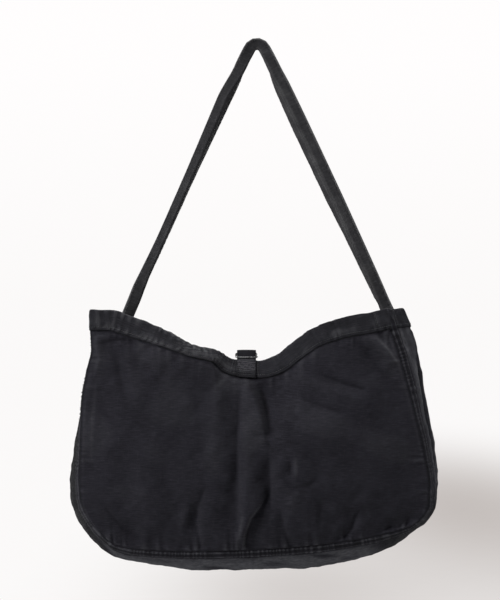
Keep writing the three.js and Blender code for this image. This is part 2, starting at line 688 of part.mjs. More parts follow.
// One leg of the strap, from its sewn end up to the start of the bend over the hook.
function strapLeg(hem, rows, hand) {
  const foot = Array.from({ length: FOOT_STEPS + 1 }, (_, i) =>
    footSection(hem, (1 - i / FOOT_STEPS) * STRAP_FOOT_SHARE),
  );
  const footCrease = foot[foot.length - 1].middle[STRAP_ACROSS_CELLS / 2];
  const slope = Math.atan2(Math.abs(footCrease.x), -footCrease.z);
  const bendEnd = hookCrease(hand * (Math.PI / 2 - slope));
  const along = bendEnd.clone().sub(footCrease);
  const length = along.length();
  along.normalize();
  const outward = point(hand, 0, 0).addScaledVector(along, -hand * along.x).normalize();
  const front = point(0, -1, 0).addScaledVector(along, along.y).normalize();
  const free = [];
  for (let i = 0; i < LEG_STEPS; i += 1) {
    const share = lerp(FOOT_RISE / length, 1, i / (LEG_STEPS - 1));
    const turn = rowValue(rows, "along", share, "turn") * RAD;
    const opensTo = outward.clone().multiplyScalar(Math.cos(turn));
    opensTo.addScaledVector(front, Math.sin(turn));
    const crease = footCrease.clone().addScaledVector(along, share * length);
    const open = rowValue(rows, "along", share, "open");
    const section = foldedSection(crease, opensTo, along.clone().multiplyScalar(hand), open);
    free.push(section);
  }
  return { foot, free, slope };
}

function shoulderStrap(gusset, direction) {
  const last = gusset.length - 1;
  const leftHem = { top: gusset[0], foot: gusset[1], direction, falls: true };
  const rightHem = { top: gusset[last], foot: gusset[last - 1], direction, falls: false };
  const left = strapLeg(leftHem, LEFT_STRAP_ROWS, -1);
  const right = strapLeg(rightHem, RIGHT_STRAP_ROWS, 1);
  const bend = [];
  for (let i = 1; i < HOOK_STEPS; i += 1) {
    const angle = lerp(left.slope - Math.PI / 2, Math.PI / 2 - right.slope, i / HOOK_STEPS);
    const outward = point(Math.sin(angle), 0, Math.cos(angle));
    const backward = point(-Math.cos(angle), 0, Math.sin(angle));
    bend.push(foldedSection(hookCrease(angle), outward, backward, HOOK_OPEN));
  }
  return [
    ...left.foot,
    ...left.free,
    ...bend,
    ...right.free.reverse(),
    ...right.foot.reverse(),
  ];
}

// The closing strap and the ring slide share these places, seen from the side at the
// clasp: y from the middle of the mouth, z up.
function claspLayout() {
  const mouthZ = mouthPoint(0).z;
  const half = MOUTH_PINCH / 2;
  // one bar reach: from the middle of a bar to the middle of the strap that lies on it
  const reach = CLOSING_CLOTH / 2 + CLEARANCE + RING_WIRE / 2;
  const overHem = mouthZ + BAND_OUTER + CLEARANCE + CLOSING_CLOTH / 2;
  const frontBar = { y: -half - BAR_FORWARD * reach, z: overHem + BAR_RISE * reach };
  const backBar = {
    y: frontBar.y + RING_DEPTH * Math.cos(RING_TILT * RAD),
    z: frontBar.z + RING_DEPTH * Math.sin(RING_TILT * RAD),
  };
  const arch = ARCH_ANGLES.map((degrees) => ({
    y: backBar.y + ARCH_WIDTH * reach * Math.cos(degrees * RAD),
    z: backBar.z + ARCH_HEIGHT * reach * Math.sin(degrees * RAD),
  }));
  const route = [
    { y: -half, z: overHem },
    { y: -half + STRAP_EASE * reach, z: overHem + reach },
    ...arch,
    { y: half + STRAP_EASE * reach, z: overHem + reach - BACK_DROP },
    { y: half, z: overHem - BACK_DROP },
  ];
  return { frontBar, backBar, route };
}

// A strap lies on the outside of a panel's band: its middle points at one share down the
// band, at the panel's own columns so that the layers follow each other.
function onBand(grid, direction, downShare, lift) {
  const middleColumn = ACROSS_CELLS / 2;
  const inset = BAND_OUTER + CLEARANCE + CLOSING_CLOTH / 2;
  const at = (column) => {
    const p = grid[0][column].clone().lerp(grid[1][column], downShare);
    const way = direction(grid[0][column]).clone().lerp(direction(grid[1][column]), downShare);
    return { p: p.addScaledVector(way, inset), way };
  };
  const edge = (hand) => {
    let outer = middleColumn + hand;
    const wanted = CLASP_ACROSS + (hand * CLOSING_WIDTH) / 2;
    while ((grid[0][outer].x - wanted) * hand < 0) outer += hand;
    const near = at(outer - hand);
    const far = at(outer);
    const t = (wanted - near.p.x) / (far.p.x - near.p.x);
    return { p: near.p.lerp(far.p, t), way: near.way.lerp(far.way, t) };
  };
  const inside = [-1, 0, 1].map((offset) => at(middleColumn + offset));
  const row = [edge(-1), ...inside, edge(1)];
  const up = grid[0][middleColumn].clone().sub(grid[1][middleColumn]).normalize();
  return {
    middle: row.map(({ p }) => p.addScaledVector(up, lift)),
    directions: row.map(({ way }) => way),
  };
}

function closingStrap(front, back, direction) {
  const { route } = claspLayout();
  const lowerFront = onBand(front, direction, 1, 0);
  const upperFront = onBand(front, direction, 0, CLEARANCE);
  const upperBack = onBand(back, direction, 0, CLEARANCE);
  const lowerBack = onBand(back, direction, 1, 0);
  const free = route.map(({ y, z }, i) => {
    const behind = i > 0 ? route[i - 1] : upperFront.middle[2];
    const ahead = i < route.length - 1 ? route[i + 1] : upperBack.middle[2];
    const normal = point(0, behind.z - ahead.z, ahead.y - behind.y).normalize();
    const share = (i + 1) / (route.length + 1);
    const middle = upperFront.middle.map((p, k) => {
      const x = lerp(p.x, upperBack.middle[k].x, share);
      return point(x, y, z);
    });
    return { middle, directions: middle.map(() => normal) };
  });
  return [lowerFront, upperFront, ...free, upperBack, lowerBack];
}

// The ring is a wire bent to a rectangle round the closing strap.
function ringSlide() {
  const { frontBar, backBar } = claspLayout();
  const wire = RING_WIRE / 2;
  const halfAcross = CLOSING_WIDTH / 2 + RING_SIDE_GAP + wire;
  const corner = 2 * wire;
  const centre = point(CLASP_ACROSS, (frontBar.y + backBar.y) / 2, (frontBar.z + backBar.z) / 2);
  const across = point(1, 0, 0);
  const along = point(0, backBar.y - frontBar.y, backBar.z - frontBar.z).normalize();
  const up = across.clone().cross(along);
  const loops = [];
  for (const [handX, handY, start] of [[1, -1, -90], [1, 1, 0], [-1, 1, 90], [-1, -1, 180]]) {
    for (let i = 0; i <= RING_CORNER_STEPS; i += 1) {
      const angle = (start + (90 * i) / RING_CORNER_STEPS) * RAD;
      const outward = across.clone().multiplyScalar(Math.cos(angle));
      outward.addScaledVector(along, Math.sin(angle));
      const middle = centre.clone();
      middle.addScaledVector(across, handX * (halfAcross - corner));
      middle.addScaledVector(along, handY * (RING_DEPTH / 2 - corner));
      middle.addScaledVector(outward, corner);
      loops.push(
        Array.from({ length: RING_SIDES }, (_, k) => {
          const around = ((k + 0.5) / RING_SIDES) * 2 * Math.PI;
          const p = middle.clone().addScaledVector(outward, wire * Math.cos(around));
          return p.addScaledVector(up, wire * Math.sin(around));
        }),
      );
    }
  }
  return loftLoops(loops, { ring: true });
}

const canvas = new THREE.MeshStandardMaterial({ color: 0x25262a, roughness: 0.92 });
const hemCanvas = new THREE.MeshStandardMaterial({ color: 0x2c2d30, roughness: 0.92 });
const strapCanvas = new THREE.MeshStandardMaterial({ color: 0x232428, roughness: 0.9 });
const metal = new THREE.MeshStandardMaterial({ color: 0x8c8d90, roughness: 0.35, metalness: 1 });

function part(name, geometry, material) {
  const mesh = new THREE.Mesh(geometry, material.clone());
  mesh.name = name;
  return mesh;
}

const front = panelGrid(FRONT_FOLDS);
const back = mirrorToBack(panelGrid(BACK_FOLDS));
const gusset = gussetGrid(front, back);
const direction = offsetDirections([
  { grid: front, flip: false },
  { grid: back, flip: true },
  { grid: gusset, flip: true },
]);
const panelSeams = { columns: true, lastRow: true };
const gussetSeams = { columns: true, lastRow: false };

const closingGeometry = ribbon(closingStrap(front, back, direction), CLOSING_CLOTH, true);

const bag = new THREE.Group();
bag.add(
  part("front_panel", sheet(front, direction, panelSeams), canvas),
  part("back_panel", sheet(back, direction, panelSeams), canvas),
  part("gusset", sheet(gusset, direction, gussetSeams), canvas),
  part("hem_band", hemBand(mouthRing(front, back, gusset), direction), hemCanvas),
  part("shoulder_strap", ribbon(shoulderStrap(gusset, direction), STRAP_CLOTH), strapCanvas),
  part("closing_strap", closingGeometry, hemCanvas),
  part("ring_slide", ringSlide(), metal),
);

export default bag;
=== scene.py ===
"""Looks of a washed black canvas newspaper bag that hangs empty from its shoulder strap.

Sizes are in millimetres until a mesh is made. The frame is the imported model's: +Z up,
the front panel faces -Y, the origin is the underside of the strap where it hangs."""

import math

import bpy
import numpy as np
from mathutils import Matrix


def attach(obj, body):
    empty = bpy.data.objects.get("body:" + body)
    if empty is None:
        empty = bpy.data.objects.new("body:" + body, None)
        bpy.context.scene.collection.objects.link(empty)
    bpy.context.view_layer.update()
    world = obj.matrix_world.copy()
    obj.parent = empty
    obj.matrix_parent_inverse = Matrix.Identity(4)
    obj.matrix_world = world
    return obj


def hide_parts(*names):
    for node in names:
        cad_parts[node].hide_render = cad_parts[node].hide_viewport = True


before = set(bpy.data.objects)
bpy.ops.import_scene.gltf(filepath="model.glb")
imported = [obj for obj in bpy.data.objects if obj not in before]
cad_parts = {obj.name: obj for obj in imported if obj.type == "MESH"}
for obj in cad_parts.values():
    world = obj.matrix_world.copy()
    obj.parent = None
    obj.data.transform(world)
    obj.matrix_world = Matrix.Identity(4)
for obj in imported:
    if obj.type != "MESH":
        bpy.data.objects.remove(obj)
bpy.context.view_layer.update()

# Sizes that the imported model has
BAG_WIDTH, BAG_HEIGHT = 552.0, 387.0
MOUTH_WIDTH, MOUTH_SAG, MOUTH_DEPTH, MOUTH_PINCH = 472.0, 78.0, 92.0, 15.0
GUSSET_DEPTH = 124.0
STRAP_DROP, CLASP_ACROSS = 396.0, -16.0
LEFT_MOUTH_SHARE, RIGHT_MOUTH_SHARE = 0.495, 0.443
BAND_WIDTH, STRAP_WIDTH, STRAP_CLOTH, CLOSING_CLOTH = 30.0, 38.0, 3.0, 2.0
GUSSET_DIP, DIP_FADE, BACK_DROP, RIM_FADE = 9.0, 0.33, 3.0, 0.16
HOOK_BEND, RING_WIRE, RING_DEPTH, RING_TILT = 5.0, 2.6, 12.0, 28.0
HALF_WIDTH, HALF_DEPTH, CORNER_Z = BAG_WIDTH / 2, GUSSET_DEPTH / 2, -STRAP_DROP

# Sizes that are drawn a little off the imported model's, as in the photograph
CLOSING_WIDTH, HOOK_OPEN, RING_SIDE_GAP = 29.0, 24.0, 0.2

# Sizes of the cloth as it is drawn
CLOTH, HEM_CLOTH = 1.3, 0.7
HEM_LIFT = 2.3  # outer face of the hem from the middle of the panel's cloth
FELL_WIDTH = 12.5  # seam allowance, stitched down on the gusset's side
SEAM_ROWS = (2.6, 10.6)  # its rows of stitches, from the seam
FREE_FROM = 26  # how much of each end of the strap lies on the hem
RING_ROOM = 0.2  # between the ring's wire and the closing strap
FOLD_DEPTH = 1.4  # how deep the folds in the tables are drawn

# Steps of the grids: a panel's places across and down and its rows under the hem, places
# across the gusset and round the hem's section, the hem's step in mm, the two straps
ACROSS, DOWN, HEM_ROWS = 244, 190, 5
GUSSET_ACROSS, HEM_AROUND, HEM_STEP = 54, 30, 1.7
STRAP_ACROSS, STRAP_ALONG = 23, 380
CLOSING_ACROSS, CLOSING_FINER, CLOSING_ALONG = 9, 17, 110

# Mouth edge of the front: across, drop, lean, depth
MOUTH = np.array([
    (-1.0, 0.01, 12, 1.0), (-0.88, 0.01, 10, 0.97), (-0.73, 0.145, 16, 0.9),
    (-0.5, 0.44, 38, 0.72), (-0.35, 0.68, 54, 0.5), (-0.195, 0.79, 52, 0.24),
    (-0.08, 0.98, 40, 0.04), (0.0, 1.0, 36, 0), (0.1, 1.0, 33, 0.05), (0.2, 0.92, 30, 0.22),
    (0.3, 0.72, 30, 0.42), (0.385, 0.54, 28, 0.55), (0.47, 0.38, 24, 0.68),
    (0.56, 0.275, 20, 0.78), (0.73, 0.135, 14, 0.91), (0.87, 0.07, 11, 0.97),
    (1.0, -0.01, 12, 1.0),
])
# Side seams: down, out, depth
LEFT_SEAM = np.array([
    (0.08, -0.888, 0.8), (0.15, -0.885, 0.84), (0.24, -0.914, 0.88), (0.35, -0.942, 0.92),
    (0.52, -0.953, 0.98), (0.65, -0.962, 1.0), (0.72, -0.955, 1.02), (0.77, -0.935, 1.03),
    (0.82, -0.893, 1.03),
])
RIGHT_SEAM = np.array([
    (0.1, 0.692, 0.84), (0.19, 0.745, 0.9), (0.3, 0.798, 0.96), (0.42, 0.85, 1.0),
    (0.56, 0.903, 1.02), (0.68, 0.93, 1.03), (0.75, 0.928, 1.02), (0.8, 0.89, 1.02),
    (0.835, 0.825, 1.02),
])
# Bottom seam: across, down
BOTTOM = np.array([
    (0.0, 0.82), (0.03, 0.864), (0.075, 0.906), (0.14, 0.924), (0.3, 0.933), (0.47, 0.928),
    (0.68, 0.911), (0.84, 0.885), (0.94, 0.859), (1.0, 0.835),
])
# Belly of a panel: down, then five places across it
BELLY = np.array([
    (0.0, 0, 0.05, -0.12, 0.05, 0), (0.15, 0, 0.1, -0.06, 0.1, 0), (0.4, 0, 0.15, 0.11, 0.15, 0),
    (0.7, 0, 0.16, 0.18, 0.16, 0), (0.9, 0, 0.09, 0.11, 0.09, 0), (1.0, 0, 0, 0, 0, 0),
])
# Bulge of the gusset: along, front, middle, back
LEFT_GUSSET = np.array([
    (0.0, -0.15, -0.44, -0.15), (0.0625, -0.12, -0.36, -0.12), (0.25, -0.07, -0.16, -0.07),
    (0.42, -0.01, 0.0, -0.01), (0.6, 0.08, 0.1, 0.08), (0.78, 0.11, 0.145, 0.11),
    (1.0, 0.15, 0.19, 0.15),
])
RIGHT_GUSSET = np.array([
    (0.0, 0.23, 0.04, 0.2), (0.0625, 0.26, 0.11, 0.23), (0.25, 0.24, 0.22, 0.24),
    (0.42, 0.17, 0.2, 0.19), (0.6, 0.13, 0.18, 0.14), (0.78, 0.11, 0.15, 0.11),
    (1.0, 0.1, 0.13, 0.1),
])
BASE = np.array([
    (0.0, 0.15, 0.19, 0.15), (0.12, 0.17, 0.17, 0.13), (0.3, 0.25, 0.26, 0.19),
    (0.5, 0.27, 0.29, 0.21), (0.7, 0.28, 0.32, 0.23), (0.86, 0.23, 0.28, 0.21),
    (1.0, 0.1, 0.13, 0.1),
])
# Strap sections from foot to hook: along, degrees it is open, degrees its opening is turned
# to the front, distance out
LEFT_STRAP = np.array([
    (0.0, 92, 4, 0), (0.06, 74, -30, 1), (0.15, 52, -58, 4), (0.3, 46, -68, 5),
    (0.47, 48, -70, 6), (0.63, 56, -72, 7), (0.84, 70, -74, 8), (0.88, 63, -62, 3.8),
    (0.93, 56, -50, 1.5), (1.0, HOOK_OPEN, 0, 0),
])
RIGHT_STRAP = np.array([
    (0.0, 100, -20, 0), (0.06, 116, -30, 1), (0.15, 124, -34, 2), (0.28, 132, -36, 3),
    (0.45, 146, -41, 4), (0.7, 146, -42, 4), (0.88, 120, -40, 2), (0.92, 102, -33, 0.8),
    (0.96, 84, -26, 0.5), (1.0, HOOK_OPEN, 0, 0),
])

# Folds as lines over a panel: points (x, z) from the top down or from left to right, reach to
# the left or below, reach to the right or above, height of the ridge (+) or valley (-), and
# how round it is, from 1 for a sharp crease to 2 for a soft swell.
FRONT_FOLDS = [
    ([(-26, -492), (-16, -511), (-7, -529), (0, -546), (6, -562), (12, -582)], 24, 19, 10, 1.2),
    ([(1, -505), (14, -530), (19, -560), (22, -590)], 11, 15, -8.0, 1.5),
    ([(12, -575), (20, -598), (34, -612)], 4, 8, -3.4, 1.2),
    ([(-24, -514), (-27, -541), (-29, -580), (-29, -640), (-30, -716)], 18, 6, -6.4, 1.4),
    ([(-52, -500), (-62, -552), (-68, -600), (-70, -650)], 14, 12, 2.2, 1.9),
    ([(-14, -590), (-14, -640), (-18, -700)], 10, 12, 3.4, 1.7),
    ([(17, -604), (19, -640), (19, -694)], 18, 8, -6.4, 1.4),
    ([(16, -668), (7, -686), (-7, -705), (-14, -726), (-18, -754)], 4, 10, -7.5, 1.15),
    ([(2, -680), (-13, -704), (-21, -728), (-26, -750)], 12, 5, 4, 1.5),
    ([(-76, -655), (-88, -690), (-90, -715), (-84, -747)], 13, 6, -4.8, 1.2),
    ([(-104, -680), (-114, -742)], 8, 8, 2.2, 1.8),
    ([(57, -614), (58, -644)], 3.5, 6, 1.6, 1.5),
    ([(50, -620), (51, -644)], 8, 3, -2.6, 1.3),
    ([(40, -640), (44, -651), (56, -660), (78, -654), (92, -644)], 5, 10, -2.3, 1.4),
    ([(70, -606), (84, -624), (90, -640)], 7, 8, -1.4, 1.6),
    ([(80, -660), (96, -690), (92, -724)], 9, 12, -2.2, 1.6),
    ([(58, -664), (52, -690), (44, -716)], 8, 8, 2.0, 1.7),
    ([(34, -690), (40, -715), (46, -744)], 10, 5, -2.7, 1.4),
    ([(90, -490), (130, -505), (166, -516)], 9, 4, -3.4, 1.2),
    ([(64, -526), (96, -539), (130, -549)], 9, 5, -3.0, 1.3),
    ([(70, -498), (110, -514), (150, -528)], 7, 7, 2.0, 1.8),
    ([(30, -500), (52, -540), (60, -590)], 16, 12, -2.0, 1.8),
    ([(165, -430), (193, -457), (214, -478)], 4, 5, 4.0, 1.3),
    ([(140, -436), (172, -470), (196, -504)], 9, 9, -2.6, 1.5),
    ([(124, -752), (131, -739), (142, -722), (153, -692)], 4, 9, -5, 1.2),
    ([(108, -748), (116, -728), (126, -706)], 7, 6, 2.4, 1.7),
    ([(170, -741), (190, -727), (212, -714)], 10, 6, -2.6, 1.4),
    ([(192, -744), (206, -728), (240, -692)], 11, 7, -3.6, 1.3),
    ([(-238, -447), (-212, -441), (-183, -440)], 10, 4, -3.6, 1.2),
    ([(-214, -446), (-204, -490), (-193, -537)], 12, 10, -3.2, 1.4),
    ([(-200, -446), (-184, -500), (-176, -548)], 9, 9, 1.6, 1.9),
    ([(-238, -424), (-241, -445), (-236, -468), (-240, -490)], 4, 5, 3.4, 1.4),
    ([(-192, -725), (-150, -739), (-92, -748)], 7, 14, -3, 1.4),
    ([(-228, -688), (-207, -712), (-180, -731)], 6, 12, -3.4, 1.3),
    ([(-150, -600), (-130, -650), (-134, -706)], 20, 20, -2.4, 1.9),
    ([(120, -596), (150, -640), (154, -700)], 22, 22, -2.6, 1.9),
    ([(-120, -452), (-80, -478), (-40, -500)], 12, 10, 1.8, 1.9),
]
# Creases with a painted highlight along them: points, how wide, how pale
CREASE_HIGHLIGHTS = [
    ([(178, -436), (196, -455), (212, -477)], 2.0, 0.5),
    ([(57, -616), (58, -642)], 2.2, 0.35),
    ([(-34, -484), (-52, -500), (-66, -516)], 3.0, 0.35),
    ([(-22, -700), (-30, -750)], 2.4, 0.4),
    ([(236, -690), (222, -712), (200, -736)], 2.6, 0.3),
    ([(-240, -500), (-246, -560), (-247, -620)], 2.6, 0.22),
]
BACK_FOLDS = [
    ([(-18, -490), (-24, -520), (-34, -560), (-30, -610)], 16, 5, -7, 1.2),
    ([(-8, -500), (6, -540), (16, -590), (20, -660)], 5, 22, -6, 1.2),
    ([(-14, -500), (-10, -560), (-8, -620)], 9, 9, 4, 1.7),
    ([(60, -500), (100, -530), (150, -545)], 12, 5, -3.4, 1.3),
    ([(-175, -550), (-130, -520), (-80, -490)], 12, 5, -3.4, 1.3),
    ([(-200, -680), (-170, -715), (-130, -738)], 6, 12, -4, 1.2),
    ([(130, -735), (175, -705), (205, -668)], 12, 5, -4.4, 1.2),
    ([(-60, -660), (-68, -700), (-60, -748)], 6, 12, -4.4, 1.2),
    ([(40, -680), (34, -715), (44, -748)], 12, 5, -4, 1.2),
    ([(-190, -450), (-180, -500), (-186, -560)], 12, 12, -3, 1.5),
    ([(150, -450), (170, -490), (180, -540)], 12, 12, -2.5, 1.5),
    ([(0, -620), (-6, -680)], 9, 9, 3, 1.7),
]

# Painted shadows on the floor: how deep, then middle and reach in metres, across and away
PAINTED_FLOOR_SHADOWS = ((0.95, (3.3, 3.0), (25.5, 11.0)), (0.62, (0.5, 1.5), (17.3, 3.8)))

RAD = math.pi / 180
MIRROR = np.array([1, -1, 1])  # puts the front's points at the back
RNG = np.random.default_rng(11)  # for the stitches


# Curves and noise

def hermite(t, span, start, end, start_slope, end_slope):
    return (
        (2 * t**3 - 3 * t**2 + 1) * start
        + (t**3 - 2 * t**2 + t) * span * start_slope
        + (3 * t**2 - 2 * t**3) * end
        + (t**3 - t**2) * span * end_slope
    )


def span_of(knots, at):
    """Which span of the knots each place is in."""
    return np.clip(np.searchsorted(knots, at, side="right") - 1, 0, len(knots) - 2)


def smooth_through(knots, values, at):
    """Monotone curve through values (..., K) at the knots (K), at places (W): (..., W)."""
    at = np.clip(at, knots[0], knots[-1])
    span = np.diff(knots)
    slope = np.diff(values, axis=-1) / span
    a, b = slope[..., :-1], slope[..., 1:]
    both = a * b > 0
    inner = np.where(both, 2 * a * b / np.where(both, a + b, 1), 0)
    tangent = np.concatenate([slope[..., :1], inner, slope[..., -1:]], axis=-1)
    i = span_of(knots, at)
    return hermite(
        (at - knots[i]) / span[i], span[i],
        values[..., i], values[..., i + 1], tangent[..., i], tangent[..., i + 1],
    )


def column(table, index, at):
    return smooth_through(table[:, 0], table[:, index], np.asarray(at, float))


def waves(x, y, length, count, seed, spread=1.0, lean=0.0):
    """Smooth noise of about unit size: a sum of waves about one length, in all directions
    or, with a small spread, with crests that run along lean from the second axis."""
    rng = np.random.default_rng(seed)
    total = np.zeros(np.broadcast(x, y).shape)
    for _ in range(count):
        angle = lean + (rng.random() - 0.5) * math.pi * spread
        k = 2 * math.pi / (length * (0.7 + 0.7 * rng.random()))
        total += np.cos(k * (x * math.cos(angle) + y * math.sin(angle)) + rng.random() * 6.283)
    return total / math.sqrt(count / 2)


def ease(x, low, high):
    """From 0 at low to 1 at high."""
    t = np.clip((x - low) / (high - low), 0, 1)
    return t * t * (3 - 2 * t)


def hump(x, middle, reach):
    """1 at the middle, and next to nothing at twice the reach."""
    return np.exp(-(((x - middle) / reach) ** 2))


def unit(v):
    return v / np.maximum(np.linalg.norm(v, axis=-1, keepdims=True), 1e-9)


def xyz(x, y, z):
    return np.stack(np.broadcast_arrays(x, y, z), axis=-1).astype(float)


def blurred(values, count):
    """Values along the first axis, averaged over count neighbours to each side."""
    kernel = np.hanning(2 * count + 3)[1:-1]
    kernel /= kernel.sum()
    padded = np.concatenate([values[:1].repeat(count, 0), values, values[-1:].repeat(count, 0)])
    return np.stack([np.convolve(part, kernel, mode="valid") for part in padded.T], axis=1)


def arc(points):
    """Distance along a line of points, from its first."""
    return np.concatenate([[0], np.linalg.norm(np.diff(points, axis=0), axis=1).cumsum()])


def along_line(at, line, points):
    """The points' values at the places at, where line holds the points' own places."""
    return np.stack([np.interp(at, line, part) for part in points.T], axis=-1)


def refined(rows, count):
    """Catmull-Rom through rows (N, K, D), at count places evenly along the middle column."""
    along = arc(rows[:, rows.shape[1] // 2, :3])
    at = np.linspace(0, along[-1], count)
    i = span_of(along, at)
    span = (along[i + 1] - along[i])[:, None, None]
    number = np.arange(len(rows))
    ahead, behind = np.minimum(number + 1, len(rows) - 1), np.maximum(number - 1, 0)
    tangent = (rows[ahead] - rows[behind]) / (along[ahead] - along[behind])[:, None, None]
    t = (at - along[i])[:, None, None] / span
    return hermite(t, span, rows[i], rows[i + 1], tangent[i], tangent[i + 1]), at


# The bag's surfaces

def mouth_point(s):
    """The mouth's front edge, for s from -1 at the left corner to 1 at the right one."""
    s = np.asarray(s, float)
    reach = np.where(s < 0, LEFT_MOUTH_SHARE, RIGHT_MOUTH_SHARE) * MOUTH_WIDTH
    depth = MOUTH_PINCH + (MOUTH_DEPTH - MOUTH_PINCH) * column(MOUTH, 3, s)
    return xyz(CLASP_ACROSS + s * reach, -depth / 2, CORNER_Z - column(MOUTH, 1, s) * MOUTH_SAG)


def band_foot(s):
    """The hem's lower line below mouth_point(s)."""
    s = np.asarray(s, float)
    run = mouth_point(np.minimum(1, s + 0.01)) - mouth_point(np.maximum(-1, s - 0.01))
    flat = np.hypot(run[..., 0], run[..., 2])
    lean = column(MOUTH, 2, s) * RAD
    shown = BAND_WIDTH * np.cos(lean)
    return mouth_point(s) + xyz(
        shown * run[..., 2] / flat, -BAND_WIDTH * np.sin(lean), -shown * run[..., 0] / flat
    )


def seam_line(rows, start, v):
    """A side seam that starts at the hem's corner and joins the table's line."""
    down = rows[0, 0] + (rows[-1, 0] - rows[0, 0]) * v
    seam = xyz(
        column(rows, 1, down) * HALF_WIDTH, -column(rows, 2, down) * HALF_DEPTH,
        CORNER_Z - down * BAG_HEIGHT,
    )
    return seam + (start - seam[0]) * ((1 - v) ** 2)[:, None]


def panel_surface(s, v):
    """The panel below its band: rows of points for places down (v) and across (s)."""
    top = band_foot(s)
    left = seam_line(LEFT_SEAM, top[0], v)[:, None]
    right = seam_line(RIGHT_SEAM, top[-1], v)[:, None]
    u = (s + 1) / 2
    v = v[:, None]
    straight = left * (1 - u[:, None]) + right * u[:, None]
    top_line = top[0] * (1 - u[:, None]) + top[-1] * u[:, None]
    low_z = CORNER_Z - column(BOTTOM, 1, u) * BAG_HEIGHT
    x = straight[..., 0] + (1 - v) * (top[:, 0] - top_line[:, 0])
    z = straight[..., 2] + (1 - v) * (top[:, 2] - top_line[:, 2]) + v * (low_z - straight[-1, :, 2])
    knots = np.linspace(0, 1, 5)
    sides = np.stack([column(BELLY, k, v[:, 0]) for k in range(1, 6)], axis=-1)
    belly = GUSSET_DEPTH * smooth_through(knots, sides, u)
    belly_top = GUSSET_DEPTH * smooth_through(knots, BELLY[0, 1:], u)
    rim = top[:, 1] - (top_line[:, 1] - belly_top)
    y = straight[..., 1] - belly + rim * np.exp(-((v / RIM_FADE) ** 2) / 2)
    return np.stack([x, y, z], axis=-1)


def fold_relief(folds, x, z):
    """How far the folds lift the cloth at x, z."""
    total = np.zeros(x.shape)
    for points, reach_left, reach_right, height, round_it in folds:
        points = np.array(points, float)
        line = arc(points)
        best, signed, place = np.full(x.shape, 1e9), np.zeros(x.shape), np.zeros(x.shape)
        for k in range(len(points) - 1):
            run = points[k + 1] - points[k]
            long = np.linalg.norm(run)
            to_x, to_z = x - points[k, 0], z - points[k, 1]
            t = np.clip((to_x * run[0] + to_z * run[1]) / long**2, 0, 1)
            away = np.hypot(to_x - t * run[0], to_z - t * run[1])
            nearer = away < best
            best = np.where(nearer, away, best)
            signed = np.where(nearer, (to_z * run[0] - to_x * run[1]) / long, signed)
            place = np.where(nearer, (line[k] + t * long) / line[-1], place)
        share = 0.5 + 0.5 * np.tanh(signed / 2.0)
        reach = reach_left * (1 - share) + reach_right * share
        taper = 0.15 + 0.85 * np.sin(math.pi * np.clip(place, 0.02, 0.98)) ** 0.6
        fade = np.exp(-(((best / reach) ** 2 + 0.004) ** (round_it / 2)))
        total += FOLD_DEPTH * taper * height * fade
    return total


def normals_of(grid):
    return unit(np.cross(np.gradient(grid, axis=1), np.gradient(grid, axis=0)))


def crowded(low, high, count, crowds):
    """Places from low to high that lie closer together at each crowd: place, width, how much."""
    at = np.linspace(low, high, 2001)
    density = 1 + sum(much * hump(at, place, width) for place, width, much in crowds)
    total = np.concatenate([[0], ((density[1:] + density[:-1]) / 2).cumsum()])
    return np.interp(np.linspace(0, total[-1], count + 1), total, at)


SHARES = crowded(-1, 1, ACROSS, [(-1, 0.03, 1.6), (1, 0.03, 1.6), (0.1, 0.3, 0.5)])
DOWNS = crowded(0, 1, DOWN, [(0, 0.03, 0.6), (1, 0.03, 1.6)])


